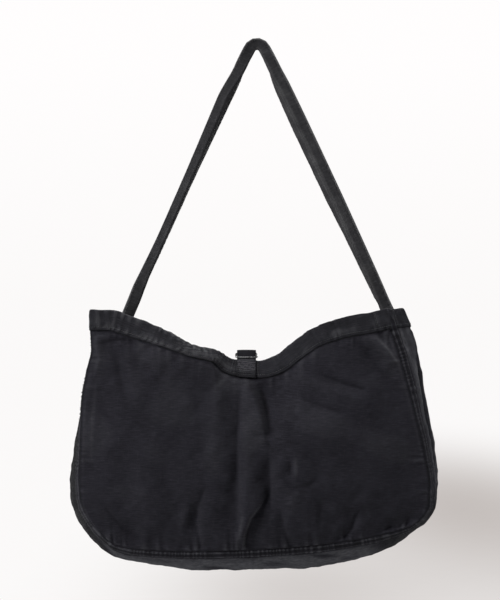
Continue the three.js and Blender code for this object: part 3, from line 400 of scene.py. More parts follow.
def panel(folds, creases, seed, behind):
    """A panel as it hangs, how worn it is with its painted light and shade. Its first rows lie under the
    hem.
    """
    below = panel_surface(SHARES, DOWNS)
    x, z = below[..., 0], below[..., 2]
    to_side = np.minimum(x - x[:, :1], x[:, -1:] - x)
    to_low = z - (CORNER_Z - column(BOTTOM, 1, (SHARES + 1) / 2) * BAG_HEIGHT)
    to_top = z[:1] - z
    edge = ease(to_side, 0, 16) * ease(to_low, 0, 9) * ease(to_top, -2, 12)
    folds_here = fold_relief(folds, x, z)
    calm = 0.55 + 0.45 * waves(x, z, 210, 8, seed)
    relief = folds_here * edge
    relief += 1.1 * edge * waves(x, z, 74, 14, seed + 1)
    relief += 0.55 * edge * calm * waves(x, z, 30, 22, seed + 2)
    relief += 0.13 * waves(x, z, 13, 30, seed + 3) * ease(to_side, 0, 8) * ease(to_low, 0, 8)

    def pucker(away, start, reach, along, slant, length, draw, spread):
        """Small folds that the stitching draws in, beside a seam or the hem."""
        fade = np.exp(-away / reach) * ease(away, start, 5)
        return fade * waves(along, away * slant, length, 7, seed + draw, spread)

    down_side = z + 9 * waves(x * 0, z, 60, 6, seed + 4)
    along_base = x + 9 * waves(x, z * 0, 60, 6, seed + 6)
    side_pucker = pucker(to_side, 0.5, 12, down_side, 0.25, 15, 5, 0.12)
    low_pucker = pucker(to_low, 0.5, 15, along_base, 0.3, 16, 7, 0.12)
    top_pucker = pucker(to_top, 0, 15, along_base, 0.3, 17, 8, 0.16)
    relief += 0.5 * side_pucker + 1.15 * low_pucker + 0.7 * top_pucker
    # the cloth turns in at its seams
    relief -= 1.7 * (hump(to_side, 0, 2.4) + hump(to_low, 0, 2.4))
    grid = below - normals_of(below) * relief[..., None]
    hem = np.linspace(0, 1, HEM_ROWS, endpoint=False)[:, None, None]
    grid = np.concatenate([mouth_point(SHARES)[None] * (1 - hem) + below[:1] * hem, grid])
    # worn_and_shaded: above 0 pale, where what stands proud is worn and where highlights are painted along
    # creases; below 0 dark, painted shade in seams, creases, under the hem and towards the bottom
    worn_and_shaded = 0.15 * hump(to_side, 4, 3) + 0.2 * hump(to_low, 4, 3)
    worn_and_shaded += 0.3 * np.clip(low_pucker, 0, 1) + 0.15 * np.clip(side_pucker, 0, 1)
    worn_and_shaded += 0.2 * np.clip(top_pucker, 0, 1)
    worn_and_shaded += 0.1 * np.clip(waves(x, z, 90, 10, seed + 9), 0, 1)
    # paler where the folds stand proud, worn, and darker in their valleys, painted shade
    worn_and_shaded += 0.08 * np.clip(folds_here / 3, -1, 1) * edge
    # painted highlights along the creases
    for points, wide, pale in creases:
        worn_and_shaded += fold_relief([(points, wide, wide, pale / FOLD_DEPTH, 1.6)], x, z)
    # painted shade along the seams and under the hem
    worn_and_shaded -= np.exp(-to_side / 1.6) + np.exp(-to_low / 1.8) + 0.45 * np.exp(-to_top / 1.3)
    # painted shade, darker towards the bottom and more so towards +x
    worn_and_shaded -= 0.1 * ease(-z, 600, 720) * (1 + 0.7 * ease(x, 0, 180))
    worn_and_shaded = np.concatenate([worn_and_shaded[:1].repeat(HEM_ROWS, 0), worn_and_shaded])
    if behind:
        lower = np.clip(1 - np.linspace(0, 1, len(grid)) / 0.25, 0, 1)[:, None]
        grid = grid * MIRROR
        grid[..., 2] -= BACK_DROP * lower
    return grid, np.clip(worn_and_shaded, -1, 1)


def gusset_surface(front, back, places_across):
    """The gusset without its folds, from the left mouth corner round to the right one."""
    front_edge, back_edge = (
        np.concatenate([grid[:, 0], grid[-1, 1:-1], grid[::-1, -1]]) for grid in (front, back)
    )
    down = np.concatenate([np.linspace(0, 1 / 16, HEM_ROWS, endpoint=False), (1 + 15 * DOWNS) / 16])
    base = np.linspace(0, 1, ACROSS + 1)[1:-1]
    tangent = np.gradient(blurred(front_edge, 10), axis=0)
    outward = unit(xyz(tangent[:, 2], 0, -tangent[:, 0]))
    side, count = len(down), len(front_edge)
    bulge = np.zeros((count, 5))
    for k in (1, 2, 3):
        bulge[:side, k] = column(LEFT_GUSSET, k, down)
        bulge[side:count - side, k] = column(BASE, k, base)
        bulge[count - side:, k] = column(RIGHT_GUSSET, k, down[::-1])
    share = np.full(count, 9.0)
    share[:side], share[count - side:] = down, down[::-1]
    w = places_across[None, :, None]
    grid = front_edge[:, None] * (1 - w) + back_edge[:, None] * w
    out = smooth_through(np.linspace(0, 1, 5), bulge, places_across) * GUSSET_DEPTH
    grid = grid + outward[:, None] * out[..., None]
    dip = GUSSET_DIP * np.clip(1 - share / DIP_FADE, 0, 1)
    grid[..., 2] -= dip[:, None] * np.sin(math.pi * places_across)[None]
    return grid


def gusset(front, back):
    """The gusset as it hangs, how worn it is with its painted light and shade, then each point's distance
    along and across it and the way out."""
    w = np.linspace(0, 1, GUSSET_ACROSS + 1)
    base = gusset_surface(front, back, w - 0.11 * np.sin(2 * math.pi * w))
    normal = normals_of(base)
    across = np.linalg.norm(np.diff(base, axis=1), axis=2).cumsum(1)
    across = np.concatenate([np.zeros((len(base), 1)), across], axis=1)
    to_seam = np.minimum(across, across[:, -1:] - across)
    along = arc(base[:, GUSSET_ACROSS // 2])[:, None] + 0 * across
    out = ease(np.minimum(along, along[-1:] - along), 20, 50)
    fell = ease(to_seam, 0.6, 1.8) * (1 - ease(to_seam, FELL_WIDTH - 0.6, FELL_WIDTH + 0.8))
    drawn = along + 7 * waves(along, 0 * along, 50, 6, 31)
    ticks = waves(drawn, to_seam * 0.3, 6.0, 9, 33, 0.12)
    past_fell = np.clip(to_seam - FELL_WIDTH, 0, None)
    relief = 1.7 * fell
    relief += 0.42 * (0.35 + 0.65 * out) * ease(to_seam, 0.5, 3) * ticks * np.exp(-past_fell / 8)
    relief += 0.4 * out * ease(to_seam, 4, 26) * waves(along, across, 62, 12, 35)
    relief += 0.3 * out * ease(to_seam, 4, 22) * waves(along, across, 24, 16, 36)
    # the right side stands in a long upright fold in front of a hollow
    x, z = base[..., 0], base[..., 2]
    folded = (x[:, :1] > 0) * ease(-z[:, :1], 450, 500) * (1 - ease(-z[:, :1], 610, 670))
    ridge, hollow = hump(across, 22, 4.5), hump(across, 37, 8.5)
    relief += folded * (2.6 * ridge - 6.5 * hollow)
    relief += 0.12 * waves(along, across, 9, 20, 37) * ease(to_seam, 0, 4)
    grid = base + normal * relief[..., None]
    # as on the panels, pale where worn and dark where shade is painted: the base paler, partly faded cloth
    # and partly painted light from below, and its two corners darker, painted shade
    below = 1 - ease(np.abs(normal[..., 0]), 0.45, 0.85)
    corner = ease(x, 150, 215) * ease(-z, 640, 700)
    far_corner = ease(-x, 185, 235) * ease(-z, 560, 660)
    streaks = waves(along * 0.4, across, 20, 16, 41, 0.75, 1.3)
    left_face_shade = (1 - below) * ease(-normal[..., 0], 0.1, 0.6)
    worn_and_shaded = 0.5 * hump(to_seam, FELL_WIDTH - 1.2, 1.3) + 0.5 * hump(to_seam, 2.0, 1.2)
    # puckers on the fell worn pale on their crests, with painted shade between them
    worn_and_shaded += 0.6 * np.clip(ticks, -0.5, 1) * (to_seam < FELL_WIDTH) * (0.35 + 0.65 * below)
    worn_and_shaded += 0.15 * np.clip(waves(along, across, 60, 10, 38), 0, 1)
    # the base: faded cloth and painted light from below
    worn_and_shaded += below * (0.92 + 0.35 * streaks) * (1 - corner) * ease(to_seam, FELL_WIDTH, FELL_WIDTH + 4)
    # painted shade on the side that faces left, beyond the fell
    worn_and_shaded -= 1.1 * left_face_shade * ease(to_seam, FELL_WIDTH - 3, FELL_WIDTH)
    # painted shade in the two corners
    worn_and_shaded -= (0.8 * corner + 0.7 * far_corner) * ease(to_seam, FELL_WIDTH - 1, FELL_WIDTH + 3)
    # painted highlight on the right side's upright fold and painted shade in the hollow behind it
    worn_and_shaded += folded * (0.7 * ridge - 0.9 * hollow)
    # painted shade in the seam, along the fell's outer edge and between its rows of stitches
    worn_and_shaded -= 1.3 * np.exp(-to_seam / 0.9) + (0.6 + 0.4 * below) * hump(to_seam, FELL_WIDTH + 1.6, 1.2)
    worn_and_shaded -= (0.3 + 0.4 * below) * hump(to_seam, 6.5, 3.0)
    return grid, np.clip(worn_and_shaded, -1, 1), (along, across, normal)


# Meshes

def new_piece(name, points, faces, material):
    """A piece of the bag, from points in millimetres."""
    mesh = bpy.data.meshes.new(name)
    mesh.from_pydata((points / 1000).tolist(), [], faces)
    mesh.polygons.foreach_set("use_smooth", [True] * len(mesh.polygons))
    mesh.materials.append(material)
    mesh.update()
    piece = bpy.data.objects.new(name, mesh)
    bpy.context.scene.collection.objects.link(piece)
    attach(piece, "root")
    return piece


def grid_piece(name, grid, cloth, wear_and_shade, material, flip=False, ends=None, thickness=0.0):
    """A piece from a grid of points. cloth holds each point's place in the cut cloth, in mm,
    wear_and_shade how pale it is above 0, where worn and where light is painted, and how dark below 0,
    where shade is painted. With ends "capped" or "joined" the grid is a tube along its rows."""
    rows, cols = grid.shape[:2]
    index = np.arange(rows * cols).reshape(rows, cols)
    across = np.concatenate([index, index[:, :1]], axis=1) if ends else index
    if ends == "joined":
        across = np.concatenate([across, across[:1]])
    left, right = across[:, :-1], across[:, 1:]
    faces = np.stack([left[:-1], left[1:], right[1:], right[:-1]], axis=-1).reshape(-1, 4)
    faces = (faces[:, ::-1] if flip else faces).tolist()
    if ends == "capped":
        for row in (index[0].tolist(), index[-1, ::-1].tolist()):
            faces += [[row[k], row[k + 1], row[-2 - k], row[-1 - k]] for k in range(cols // 2 - 1)]
    piece = new_piece(name, grid.reshape(-1, 3), faces, material)
    if cloth is not None:
        layer = piece.data.attributes.new("cloth", "FLOAT_VECTOR", "POINT")
        layer.data.foreach_set("vector", (cloth.reshape(-1, 3) / 1000).astype(np.float32).ravel())
    layer = piece.data.attributes.new("wear_and_shade", "FLOAT", "POINT")
    layer.data.foreach_set("value", np.broadcast_to(wear_and_shade, (rows, cols)).astype(np.float32).ravel())
    if thickness:
        solid = piece.modifiers.new("thickness", "SOLIDIFY")
        solid.thickness = thickness / 1000
        solid.offset = 0
        solid.use_even_offset = False
    return piece


def stitches(name, lines, material, pitch=3.3, length=2.5, width=0.62, lift=0.28):
    """Stitches along lines. Each line is points and the way out of the cloth at each."""
    vertices, faces = [], []
    for points, outs in lines:
        line = arc(points)
        for at in np.arange(pitch / 2, line[-1], pitch):
            at = at + (RNG.random() - 0.5) * 0.25
            behind, here, ahead = along_line(np.array([at - 0.4, at, at + 0.4]), line, points)
            out = unit(along_line(at, line, outs))
            way = unit(ahead - behind)
            side = unit(np.cross(out, way))
            angle = (RNG.random() - 0.5) * 7 * RAD
            turned = way * math.cos(angle) + side * math.sin(angle)
            side = side * math.cos(angle) - way * math.sin(angle)
            run = turned * length * (0.94 + 0.12 * RNG.random())
            first = len(vertices)
            vertices.append(here - run / 2 - out * 0.1)
            for share in (-0.3, 0.3):
                for a, b in ((1, 0), (0, 1), (-1, 0), (0, -1)):
                    off = side * a * width / 2 + out * (lift + b * width / 2.6)
                    vertices.append(here + run * share + off)
            vertices.append(here + run / 2 - out * 0.1)
            for k in range(first + 1, first + 5):
                n = first + 1 + (k - first) % 4
                faces += [(first, n, k), (k, n, n + 4, k + 4), (first + 9, k + 4, n + 4)]
    return new_piece(name, np.array(vertices), faces, material)


# Materials

class Nodes:
    """Short calls to add and join the nodes of a material or world."""

    def __init__(self, owner):
        owner.use_nodes = True
        self.owner, self.tree = owner, owner.node_tree

    def add(self, kind, inputs=None, **settings):
        node = self.tree.nodes.new(kind)
        for key, value in settings.items():
            setattr(node, key, value)
        return self.fill(node, inputs or {})

    def fill(self, node, inputs):
        for key, value in inputs.items():
            if isinstance(value, bpy.types.NodeSocket):
                self.tree.links.new(value, node.inputs[key])
            else:
                node.inputs[key].default_value = value
        return node

    def place(self, kind="Object"):
        return self.add("ShaderNodeTexCoord").outputs[kind]

    def attribute(self, name, output):
        return self.add("ShaderNodeAttribute", attribute_name=name).outputs[output]

    def parts(self, vector):
        return self.add("ShaderNodeSeparateXYZ", {0: vector}).outputs

    def math(self, operation, a, b=0.0, clamp=False):
        node = self.add("ShaderNodeMath", {0: a, 1: b}, operation=operation, use_clamp=clamp)
        return node.outputs[0]

    def times(self, a, b, clamp=False):
        return self.math("MULTIPLY", a, b, clamp)

    def total(self, *shares):
        """The sum of values, each with its share."""
        value = self.times(*shares[0])
        for share in shares[1:]:
            value = self.math("ADD", value, self.times(*share))
        return value

    def noise(self, vector, scale, detail=3.0, rough=0.55):
        """Noise at one scale, or stretched where the scale is a vector."""
        if isinstance(scale, tuple):
            inputs = {0: vector, 1: scale}
            vector, scale = self.add("ShaderNodeVectorMath", inputs, operation="MULTIPLY").outputs[0], 1.0
        inputs = {"Vector": vector, "Scale": scale, "Detail": detail, "Roughness": rough}
        return self.add("ShaderNodeTexNoise", inputs).outputs["Fac"]

    def ranged(self, value, low, high, to_low=0.0, to_high=1.0):
        inputs = {"Value": value, "From Min": low, "From Max": high, "To Min": to_low, "To Max": to_high}
        return self.add("ShaderNodeMapRange", inputs).outputs["Result"]

    def mixed(self, share, a, b):
        return self.add("ShaderNodeMix", {0: share, 6: a, 7: b}, data_type="RGBA").outputs[2]

    def surface(self, colour, roughness, height, strength, distance, **plain):
        """Fill in the material's shader, with its plain values by name, and give it back."""
        inputs = {"Strength": strength, "Distance": distance, "Height": height}
        bump = self.add("ShaderNodeBump", inputs).outputs["Normal"]
        shader = self.tree.nodes["Principled BSDF"]
        self.fill(shader, {"Base Color": colour, "Roughness": roughness, "Normal": bump})
        self.fill(shader, {key.replace("_", " "): value for key, value in plain.items()})
        return self.owner


WEAVE_PITCH = 0.00095  # metres from thread to thread
DEEP_SHADE = (0.0035, 0.0035, 0.0042, 1)  # in seams and creases


def canvas_material(name, dark, pale, worn, worn_and_lit_share, rub=(110.0, 300.0, 150.0)):
    """Washed canvas: a plain weave with slubs along the weft, clouds of fading, pale where worn and where
    light is painted, and dark where shade is painted.
    """
    n = Nodes(bpy.data.materials.new(name))
    cloth, wear_and_shade = n.attribute("cloth", "Vector"), n.attribute("wear_and_shade", "Fac")
    across, along, _ = n.parts(cloth)
    turn = 2 * math.pi / WEAVE_PITCH
    wobble = n.noise(cloth, 160.0, 2.0)
    weft = n.math("SINE", n.total((along, turn), (wobble, 5.0)))
    warp = n.math("SINE", n.total((across, turn * 1.15), (wobble, 4.0)))
    slub = n.noise(cloth, (75.0, 640.0, 1.0), 4.0, 0.68)
    warp_slub = n.noise(cloth, (560.0, 60.0, 1.0), 3.0, 0.6)
    cloud = n.ranged(n.noise(cloth, 16.0, 4.0, 0.6), 0.35, 0.7)
    blotch = n.noise(cloth, rub, 5.0, 0.7)
    speck = n.ranged(n.noise(cloth, 700.0, 2.0, 0.6), 0.54, 0.78)
    share = n.total(
        (n.ranged(slub, 0.5, 0.78), 0.6), (cloud, 0.16), (n.ranged(warp_slub, 0.52, 0.8), 0.2),
        (n.ranged(slub, 0.47, 0.25), -0.3), (speck, 0.25),
    )
    share = n.math("ADD", share, 0.12, clamp=True)
    rubbed_and_lit = n.times(wear_and_shade, n.ranged(blotch, 0.38, 0.66, 0.5, 1.15))
    # above 0 towards the worn colour: wear, and painted highlights and light where the pieces set them
    colour = n.mixed(n.times(rubbed_and_lit, worn_and_lit_share, clamp=True), n.mixed(share, dark, pale), worn)
    # painted shade: below 0 towards DEEP_SHADE
    colour = n.mixed(n.times(wear_and_shade, -0.8, clamp=True), colour, DEEP_SHADE)
    height = n.total((n.times(weft, warp), 0.22), (slub, 1.2), (warp_slub, 0.4), (blotch, 0.7))
    return n.surface(
        colour, n.ranged(share, 0.0, 1.0, 0.97, 0.88), height, 0.7, 0.0006,
        Specular_IOR_Level=0.09, Sheen_Weight=0.05, Sheen_Roughness=0.45,
    )


def thread_material(name, dark, pale):
    n = Nodes(bpy.data.materials.new(name))
    where = n.place()
    colour = n.mixed(n.ranged(n.noise(where, 60.0), 0.35, 0.7), dark, pale)
    return n.surface(colour, 0.8, n.noise(where, 2600.0, 2.0), 0.5, 0.0002, Sheen_Weight=0.1)


def metal_material(name, dark, pale):
    n = Nodes(bpy.data.materials.new(name))
    worn = n.noise(n.place(), 420.0, 5.0, 0.7)
    roughness = n.ranged(worn, 0.3, 0.8, 0.22, 0.5)
    return n.surface(
        n.mixed(n.ranged(worn, 0.4, 0.7), dark, pale), roughness, worn, 0.25, 0.0002, Metallic=1.0
    )


def floor_material(name, shadow_colour, pale):
    """Pale glowing floor with wide soft painted shadows on it, that goes over into the backdrop's white.
    """
    n = Nodes(bpy.data.materials.new(name))
    where = n.place()
    there = n.parts(where)
    share = 1.0
    for deep, *shade in PAINTED_FLOOR_SHADOWS:
        away = 0.0
        for axis, (middle, reach) in enumerate(shade):
            steps = n.math("DIVIDE", n.math("SUBTRACT", there[axis], middle), reach)
            away = n.math("ADD", n.times(steps, steps), away)
        fade = n.times(n.math("EXPONENT", n.times(away, -1.0)), deep)
        share = n.times(share, n.math("SUBTRACT", 1.0, fade))
    grain = n.times(n.noise(where, 3.0), 0.03)
    colour = n.mixed(n.math("ADD", share, grain, clamp=True), shadow_colour, pale)
    # the floor glows with this colour, painted shadows and all
    glow = n.add("ShaderNodeEmission", {"Color": colour, "Strength": 1.0})
    n.fill(n.tree.nodes["Material Output"], {"Surface": glow.outputs[0]})
    return n.owner


CANVAS = canvas_material(
    "canvas_cloth", (0.0105, 0.0100, 0.0135, 1), (0.034, 0.033, 0.042, 1),
    (0.105, 0.106, 0.116, 1), 0.72,
)
HEM_CANVAS = canvas_material(
    "hem_cloth", (0.0122, 0.0120, 0.0148, 1), (0.040, 0.0398, 0.0465, 1),
    (0.112, 0.112, 0.12, 1), 0.85, rub=(280.0, 110.0, 150.0),
)
STRAP_CANVAS = canvas_material(
    "strap_cloth", (0.0190, 0.0187, 0.0205, 1), (0.055, 0.054, 0.058, 1),
    (0.13, 0.13, 0.132, 1), 0.85,
)
THREAD = thread_material("thread", (0.016, 0.016, 0.019, 1), (0.045, 0.045, 0.05, 1))
TACK_THREAD = thread_material("tack_thread", (0.04, 0.037, 0.047, 1), (0.085, 0.08, 0.098, 1))
METAL = metal_material("wire_metal", (0.2, 0.2, 0.203, 1), (0.38, 0.38, 0.385, 1))


# The camera, as far away and as high as the photograph's

camera_data = bpy.data.cameras.new("camera")
camera_data.lens = 110.0
camera_data.sensor_width = 36.0
camera_data.clip_end = 900.0
camera = bpy.data.objects.new("camera", camera_data)
camera.location = (-0.0107, -2.8, -0.3804)
camera.rotation_euler = (math.pi / 2, 0, 0)
bpy.context.scene.collection.objects.link(camera)
bpy.context.scene.camera = camera


# Panels and gusset

front, front_wear_and_shade = panel(FRONT_FOLDS, CREASE_HIGHLIGHTS, 100, behind=False)
back, back_wear_and_shade = panel(BACK_FOLDS, [], 200, behind=True)
sides, sides_wear_and_shade, (sides_along, sides_across, sides_out) = gusset(front, back)
front_cloth, back_cloth, gusset_cloth = (
    grid_piece(name, grid, cloth, wear_and_shade, CANVAS, flip=flip, thickness=CLOTH)
    for name, grid, cloth, wear_and_shade, flip in (
        ("front_cloth", front, xyz(front[..., 0], front[..., 2], 0), front_wear_and_shade, False),
        ("back_cloth", back, xyz(back[..., 0], back[..., 2], 0), back_wear_and_shade, True),
        ("gusset_cloth", sides, xyz(sides_along, sides_across, 0), sides_wear_and_shade, True),
    )
)


# Hem band: out along its outer face, over the mouth edge and down its inner face

def mouth_ring():
    """Round the mouth: how far round, points on the edge and on the band's lower line, the
    way out and the way up."""
    s = np.linspace(-1, 1, 361)
    surface = gusset_surface(front, back, np.linspace(0, 1, 61))
    ring = []
    for line, row in ((mouth_point(s), 0), (band_foot(s), HEM_ROWS)):
        behind = line * MIRROR - np.array([0, 0, BACK_DROP])
        ring.append(np.concatenate([line, surface[-1 - row, 1:-1], behind[::-1], surface[row, ::-1][1:]]))
    line = arc(ring[0])
    even = np.linspace(0, line[-1], int(line[-1] / HEM_STEP))
    top, foot = (along_line(even, line, points) for points in ring)

    def wrapped(values):
        return np.concatenate([values[-31:-1], values, values[1:31]])

    tangent = np.gradient(blurred(wrapped(top), 3), axis=0)
    out = unit(blurred(unit(np.cross(tangent, wrapped(top - foot))), 4))[30:-30]
    return even, top, foot, out, unit(top - foot)


ring_at, ring_top, ring_foot, ring_out, ring_up = mouth_ring()
PROFILE = np.array([  # height above the band's lower line, distance out, share of the ripple
    (-0.2, 0.75, 0.1), (0.1, 1.5, 0.4), (0.9, 2.05, 0.7), (2.2, 2.25, 0.9), (3.4, 1.95, 1.0),
    (4.6, 2.25, 1.0), (7.5, 2.4, 0.9), (11, 2.4, 0.8), (15, 2.35, 0.7), (19, 2.35, 0.7),
    (23, 2.35, 0.8), (26, 2.3, 0.9), (28.3, 2.2, 1.0), (29.8, 1.95, 1.0), (30.9, 1.4, 0.9),
    (31.4, 0.6, 0.8), (31.5, 0.0, 0.8),
])
profile_line = arc(PROFILE[:, :2])
profile_at = np.linspace(0, profile_line[-1], HEM_AROUND)
half = along_line(profile_at, profile_line, PROFILE)
section = np.concatenate([half, (half * MIRROR)[::-1][1:]])
height, out, share = (section[:, k][None] for k in range(3))


def round_ring(size, make):
    """make's values round the mouth, blended so that they meet where the ring closes."""
    at, whole = ring_at[:, None], ring_at[-1]
    share = ease(at, whole - 40, whole)
    return size * (make(at) * (1 - share) + make(at - whole) * share)


drawn = round_ring(4, lambda at: waves(at, 0 * at, 70, 6, 61))
rope = round_ring(1, lambda at: waves(at + drawn + 0.1 * height, 0 * height, 10.5, 7, 62, 0.1))
rope_low = round_ring(1, lambda at: waves(at + drawn - 0.2 * height, 0 * height, 9.5, 7, 66, 0.1))
rope_fine = round_ring(1, lambda at: waves(at - 0.3 * height, height * 0.4, 6.0, 9, 63, 0.3))
upper_share, near_low = 0.5 + 0.5 * ease(height, 17, 29), 1 - ease(height, 3, 13)
ripple = share * (0.55 * rope * upper_share + 0.35 * rope_low * near_low + 0.1 * rope_fine)
ripple += share * round_ring(0.25, lambda at: waves(at, height, 27, 9, 67))
band_height = np.linalg.norm(ring_top - ring_foot, axis=1)[:, None, None]
hem_base = ring_foot[:, None] + ring_up[:, None] * height[..., None] * (band_height / BAND_WIDTH)
hem_out = out + np.sign(out) * ripple
wave_up = round_ring(0.4, lambda at: waves(at, 0 * height, 24, 8, 64)) * ease(height, 24, 31)
hem_grid = hem_base + ring_out[:, None] * hem_out[..., None] + ring_up[:, None] * wave_up[..., None]

# the hem's wear and painted shade: its worn edge at the mouth, ripples worn pale on their crests with
# painted shade in their troughs, an abraded place at the left, all fainter and darker towards the right,
# darker low on the band about the clasp, painted shade along its lower lip
hem_x, in_front = hem_base[..., 0], hem_base[..., 1] < 0
to_right = ease(hem_x, -20, 60)
patchy = round_ring(1, lambda at: waves(at, height, 30, 10, 65))
rubbed_spots = np.clip(0.4 + 0.9 * round_ring(1, lambda at: waves(at, height, 7, 16, 68)), 0, 1.6)
# worn edge at the mouth; ripples worn pale on their crests, with painted shade in their troughs
hem_wear_and_shade = 0.3 * hump(height, 30.5, 1.2) + 0.3 * np.clip(rope, -0.8, 1) * upper_share * share
hem_wear_and_shade += 0.35 * np.clip(rope_low, 0, 1) * near_low * share * ease(height, 1.5, 5)
hem_wear_and_shade += 0.6 * hump(hem_x, -88, 42) * in_front * rubbed_spots * ease(height, 6, 26)
hem_wear_and_shade = hem_wear_and_shade * (1 - 0.75 * to_right) + 0.12 * patchy - 0.12 * to_right
hem_wear_and_shade -= 0.3 * hump(hem_x, CLASP_ACROSS, 62) * in_front * (1 - ease(height, 6, 11))
# painted shade along the band's lower lip
hem_wear_and_shade -= 0.5 * (1 - ease(height, 0.3, 1.8))
hem_cloth = xyz(ring_at[:, None], profile_at[-1] * np.linspace(0, 2, len(section)), 0)
hem_wear_and_shade = np.clip(hem_wear_and_shade, -1, 1)
hem = grid_piece("hem_band_cloth", hem_grid, hem_cloth, hem_wear_and_shade, HEM_CANVAS, thickness=HEM_CLOTH)


# Shoulder strap

def folded_section(crease, opens_to, along, open_degrees, bend=2.2):
    """Middle line of the strap folded lengthwise, and its way out, as (K, 6)."""
    side = unit(np.cross(along, opens_to))
    half_open = open_degrees / 2 * RAD
    a = np.linspace(-1, 1, STRAP_ACROSS) * STRAP_WIDTH / 2
    reach = np.sqrt(a**2 + bend**2)
    points = crease + np.outer((reach - bend) * math.cos(half_open), opens_to)
    points = points + np.outer(a * math.sin(half_open), side)
    run = np.outer(a / reach * math.cos(half_open), opens_to) + math.sin(half_open) * side
    out = unit(np.cross(run, along))
    out *= np.sign((out @ -opens_to).sum() or 1)
    return np.concatenate([points, out], axis=1)


def foot_section(top_row, low_row, down):
    """The strap's sewn end, which lies on the hem inside the gusset."""
    line = top_row * (1 - down) + low_row * down
    length = arc(line)
    a = np.linspace(-1, 1, STRAP_ACROSS) * STRAP_WIDTH / 2 + length[-1] / 2
    points = along_line(a, length, line)
    inward = unit(np.cross(np.gradient(points, axis=0), unit((top_row - low_row).mean(0))))
    inward *= np.sign(inward[STRAP_ACROSS // 2, 0] * -points[STRAP_ACROSS // 2, 0] or 1)
    inward = unit(blurred(inward, 2))
    return np.concatenate([points + inward * (HEM_LIFT + 0.9 + STRAP_CLOTH / 2), inward], axis=1)


def hook_crease(angle):
    """The fold's inner line where the strap bends over the hook."""
    underside = STRAP_CLOTH / 2 * min(2, 1 / math.sin(HOOK_OPEN / 2 * RAD))
    return np.array([HOOK_BEND * math.sin(angle), 0, HOOK_BEND * (math.cos(angle) - 1) + underside])


def strap_leg(top_row, low_row, rows, hand):
    """Sections of one leg from its foot to the hook, and its slope. hand is -1 at the left."""
    sections = [foot_section(top_row, low_row, share) for share in (0.9, 0.6, 0.3, 0.0)]
    foot = sections[-1][STRAP_ACROSS // 2, :3]
    slope = math.atan2(abs(foot[0]), -foot[2])
    end = hook_crease(hand * (math.pi / 2 - slope))
    along = unit(end - foot)
    length = np.linalg.norm(end - foot)
    outward = unit(np.array([hand, 0, 0]) - along * (hand * along[0]))
    forward = unit(np.array([0.0, -1, 0]) + along * along[1])
    for share in np.linspace(FREE_FROM / length, 1, 22):
        is_open, turn, out = (float(column(rows, k, share)) for k in (1, 2, 3))
        opens_to = outward * math.cos(turn * RAD) + forward * math.sin(turn * RAD)
        crease = foot + along * share * length + outward * out
        sections.append(folded_section(crease, opens_to, along * hand, is_open))
    return sections, slope


mouth_sides = gusset_surface(front, back, np.linspace(0, 1, 121))
left_leg, left_slope = strap_leg(mouth_sides[0], mouth_sides[HEM_ROWS], LEFT_STRAP, -1)
right_leg, right_slope = strap_leg(mouth_sides[-1], mouth_sides[-1 - HEM_ROWS], RIGHT_STRAP, 1)
bend = []
for angle in np.linspace(left_slope - math.pi / 2, math.pi / 2 - right_slope, 9)[1:-1]:
    outward = np.array([math.sin(angle), 0, math.cos(angle)])
    backward = np.array([-math.cos(angle), 0, math.sin(angle)])
    bend.append(folded_section(hook_crease(angle), outward, backward, HOOK_OPEN))


def solid_ribbon(rows, at, thickness, width, seed, ripple_size, worn, crease):
    """A closed ribbon round the middle points rows (N, K, 6), with rounded edges and a groove where each
    edge is stitched: its points, places in the cloth, how worn it is with its painted light and shade,
    then its two faces and the way out."""
    a = np.linspace(-1, 1, rows.shape[1]) * width / 2
    to_edge = width / 2 - np.abs(a)
    round_edge = np.clip(1 - to_edge / (thickness / 2), 0, 1)
    half_thick = thickness / 2 * np.sqrt(1 - round_edge**2) - 0.32 * hump(to_edge, 3.4, 0.9)
    middle, way = rows[..., :3], unit(rows[..., 3:])
    along = at[:, None]
    ripple = ripple_size * waves(along, a * 0.5, 7.5, 8, seed, 0.25) * np.exp(-np.abs(to_edge - 3.4) / 3.5)
    ripple += 0.1 * waves(along, a, 30, 8, seed + 1)
    moved = ripple * (to_edge > 0.1)
    upper = middle + way * (half_thick + moved)[..., None]
    lower = middle - way * (half_thick - moved)[..., None]
    loop = np.concatenate([upper, lower[:, ::-1][:, 1:-1]], axis=1)
    cloth = xyz(np.concatenate([a, a[::-1][1:-1] + width]), along, 0)
    # the edges set by worn, painted shade in the stitched grooves, a pale worn crease along the middle,
    # and the ripples painted paler where they stand up and darker in their dips
    wear_and_shade = worn * hump(to_edge, 0, 2.4) - 0.5 * hump(to_edge, 3.6, 0.9)
    wear_and_shade = wear_and_shade + crease * hump(np.abs(a), 2.0, 2.2) + 0.12 * ripple / ripple_size
    wear_and_shade = np.concatenate([wear_and_shade, wear_and_shade[:, ::-1][:, 1:-1]], axis=1)
    return loop, cloth, np.clip(wear_and_shade, -1, 1), upper, lower, way


strap_rows, strap_at = refined(np.array(left_leg + bend + right_leg[::-1]), STRAP_ALONG)
strap_loop, strap_cloth, strap_wear_and_shade, strap_upper, strap_lower, strap_way = solid_ribbon(
    strap_rows, strap_at, STRAP_CLOTH, STRAP_WIDTH, 71, 0.16, 1.2, 0.35
)
# painted shade: the left leg is darker than the right
strap_wear_and_shade -= np.where(strap_loop[..., 0] < 0, 0.3, 0.0)
strap = grid_piece("strap_cloth_piece", strap_loop, strap_cloth, strap_wear_and_shade, STRAP_CANVAS, ends="capped")


# Closing strap and wire ring at the middle of the mouth

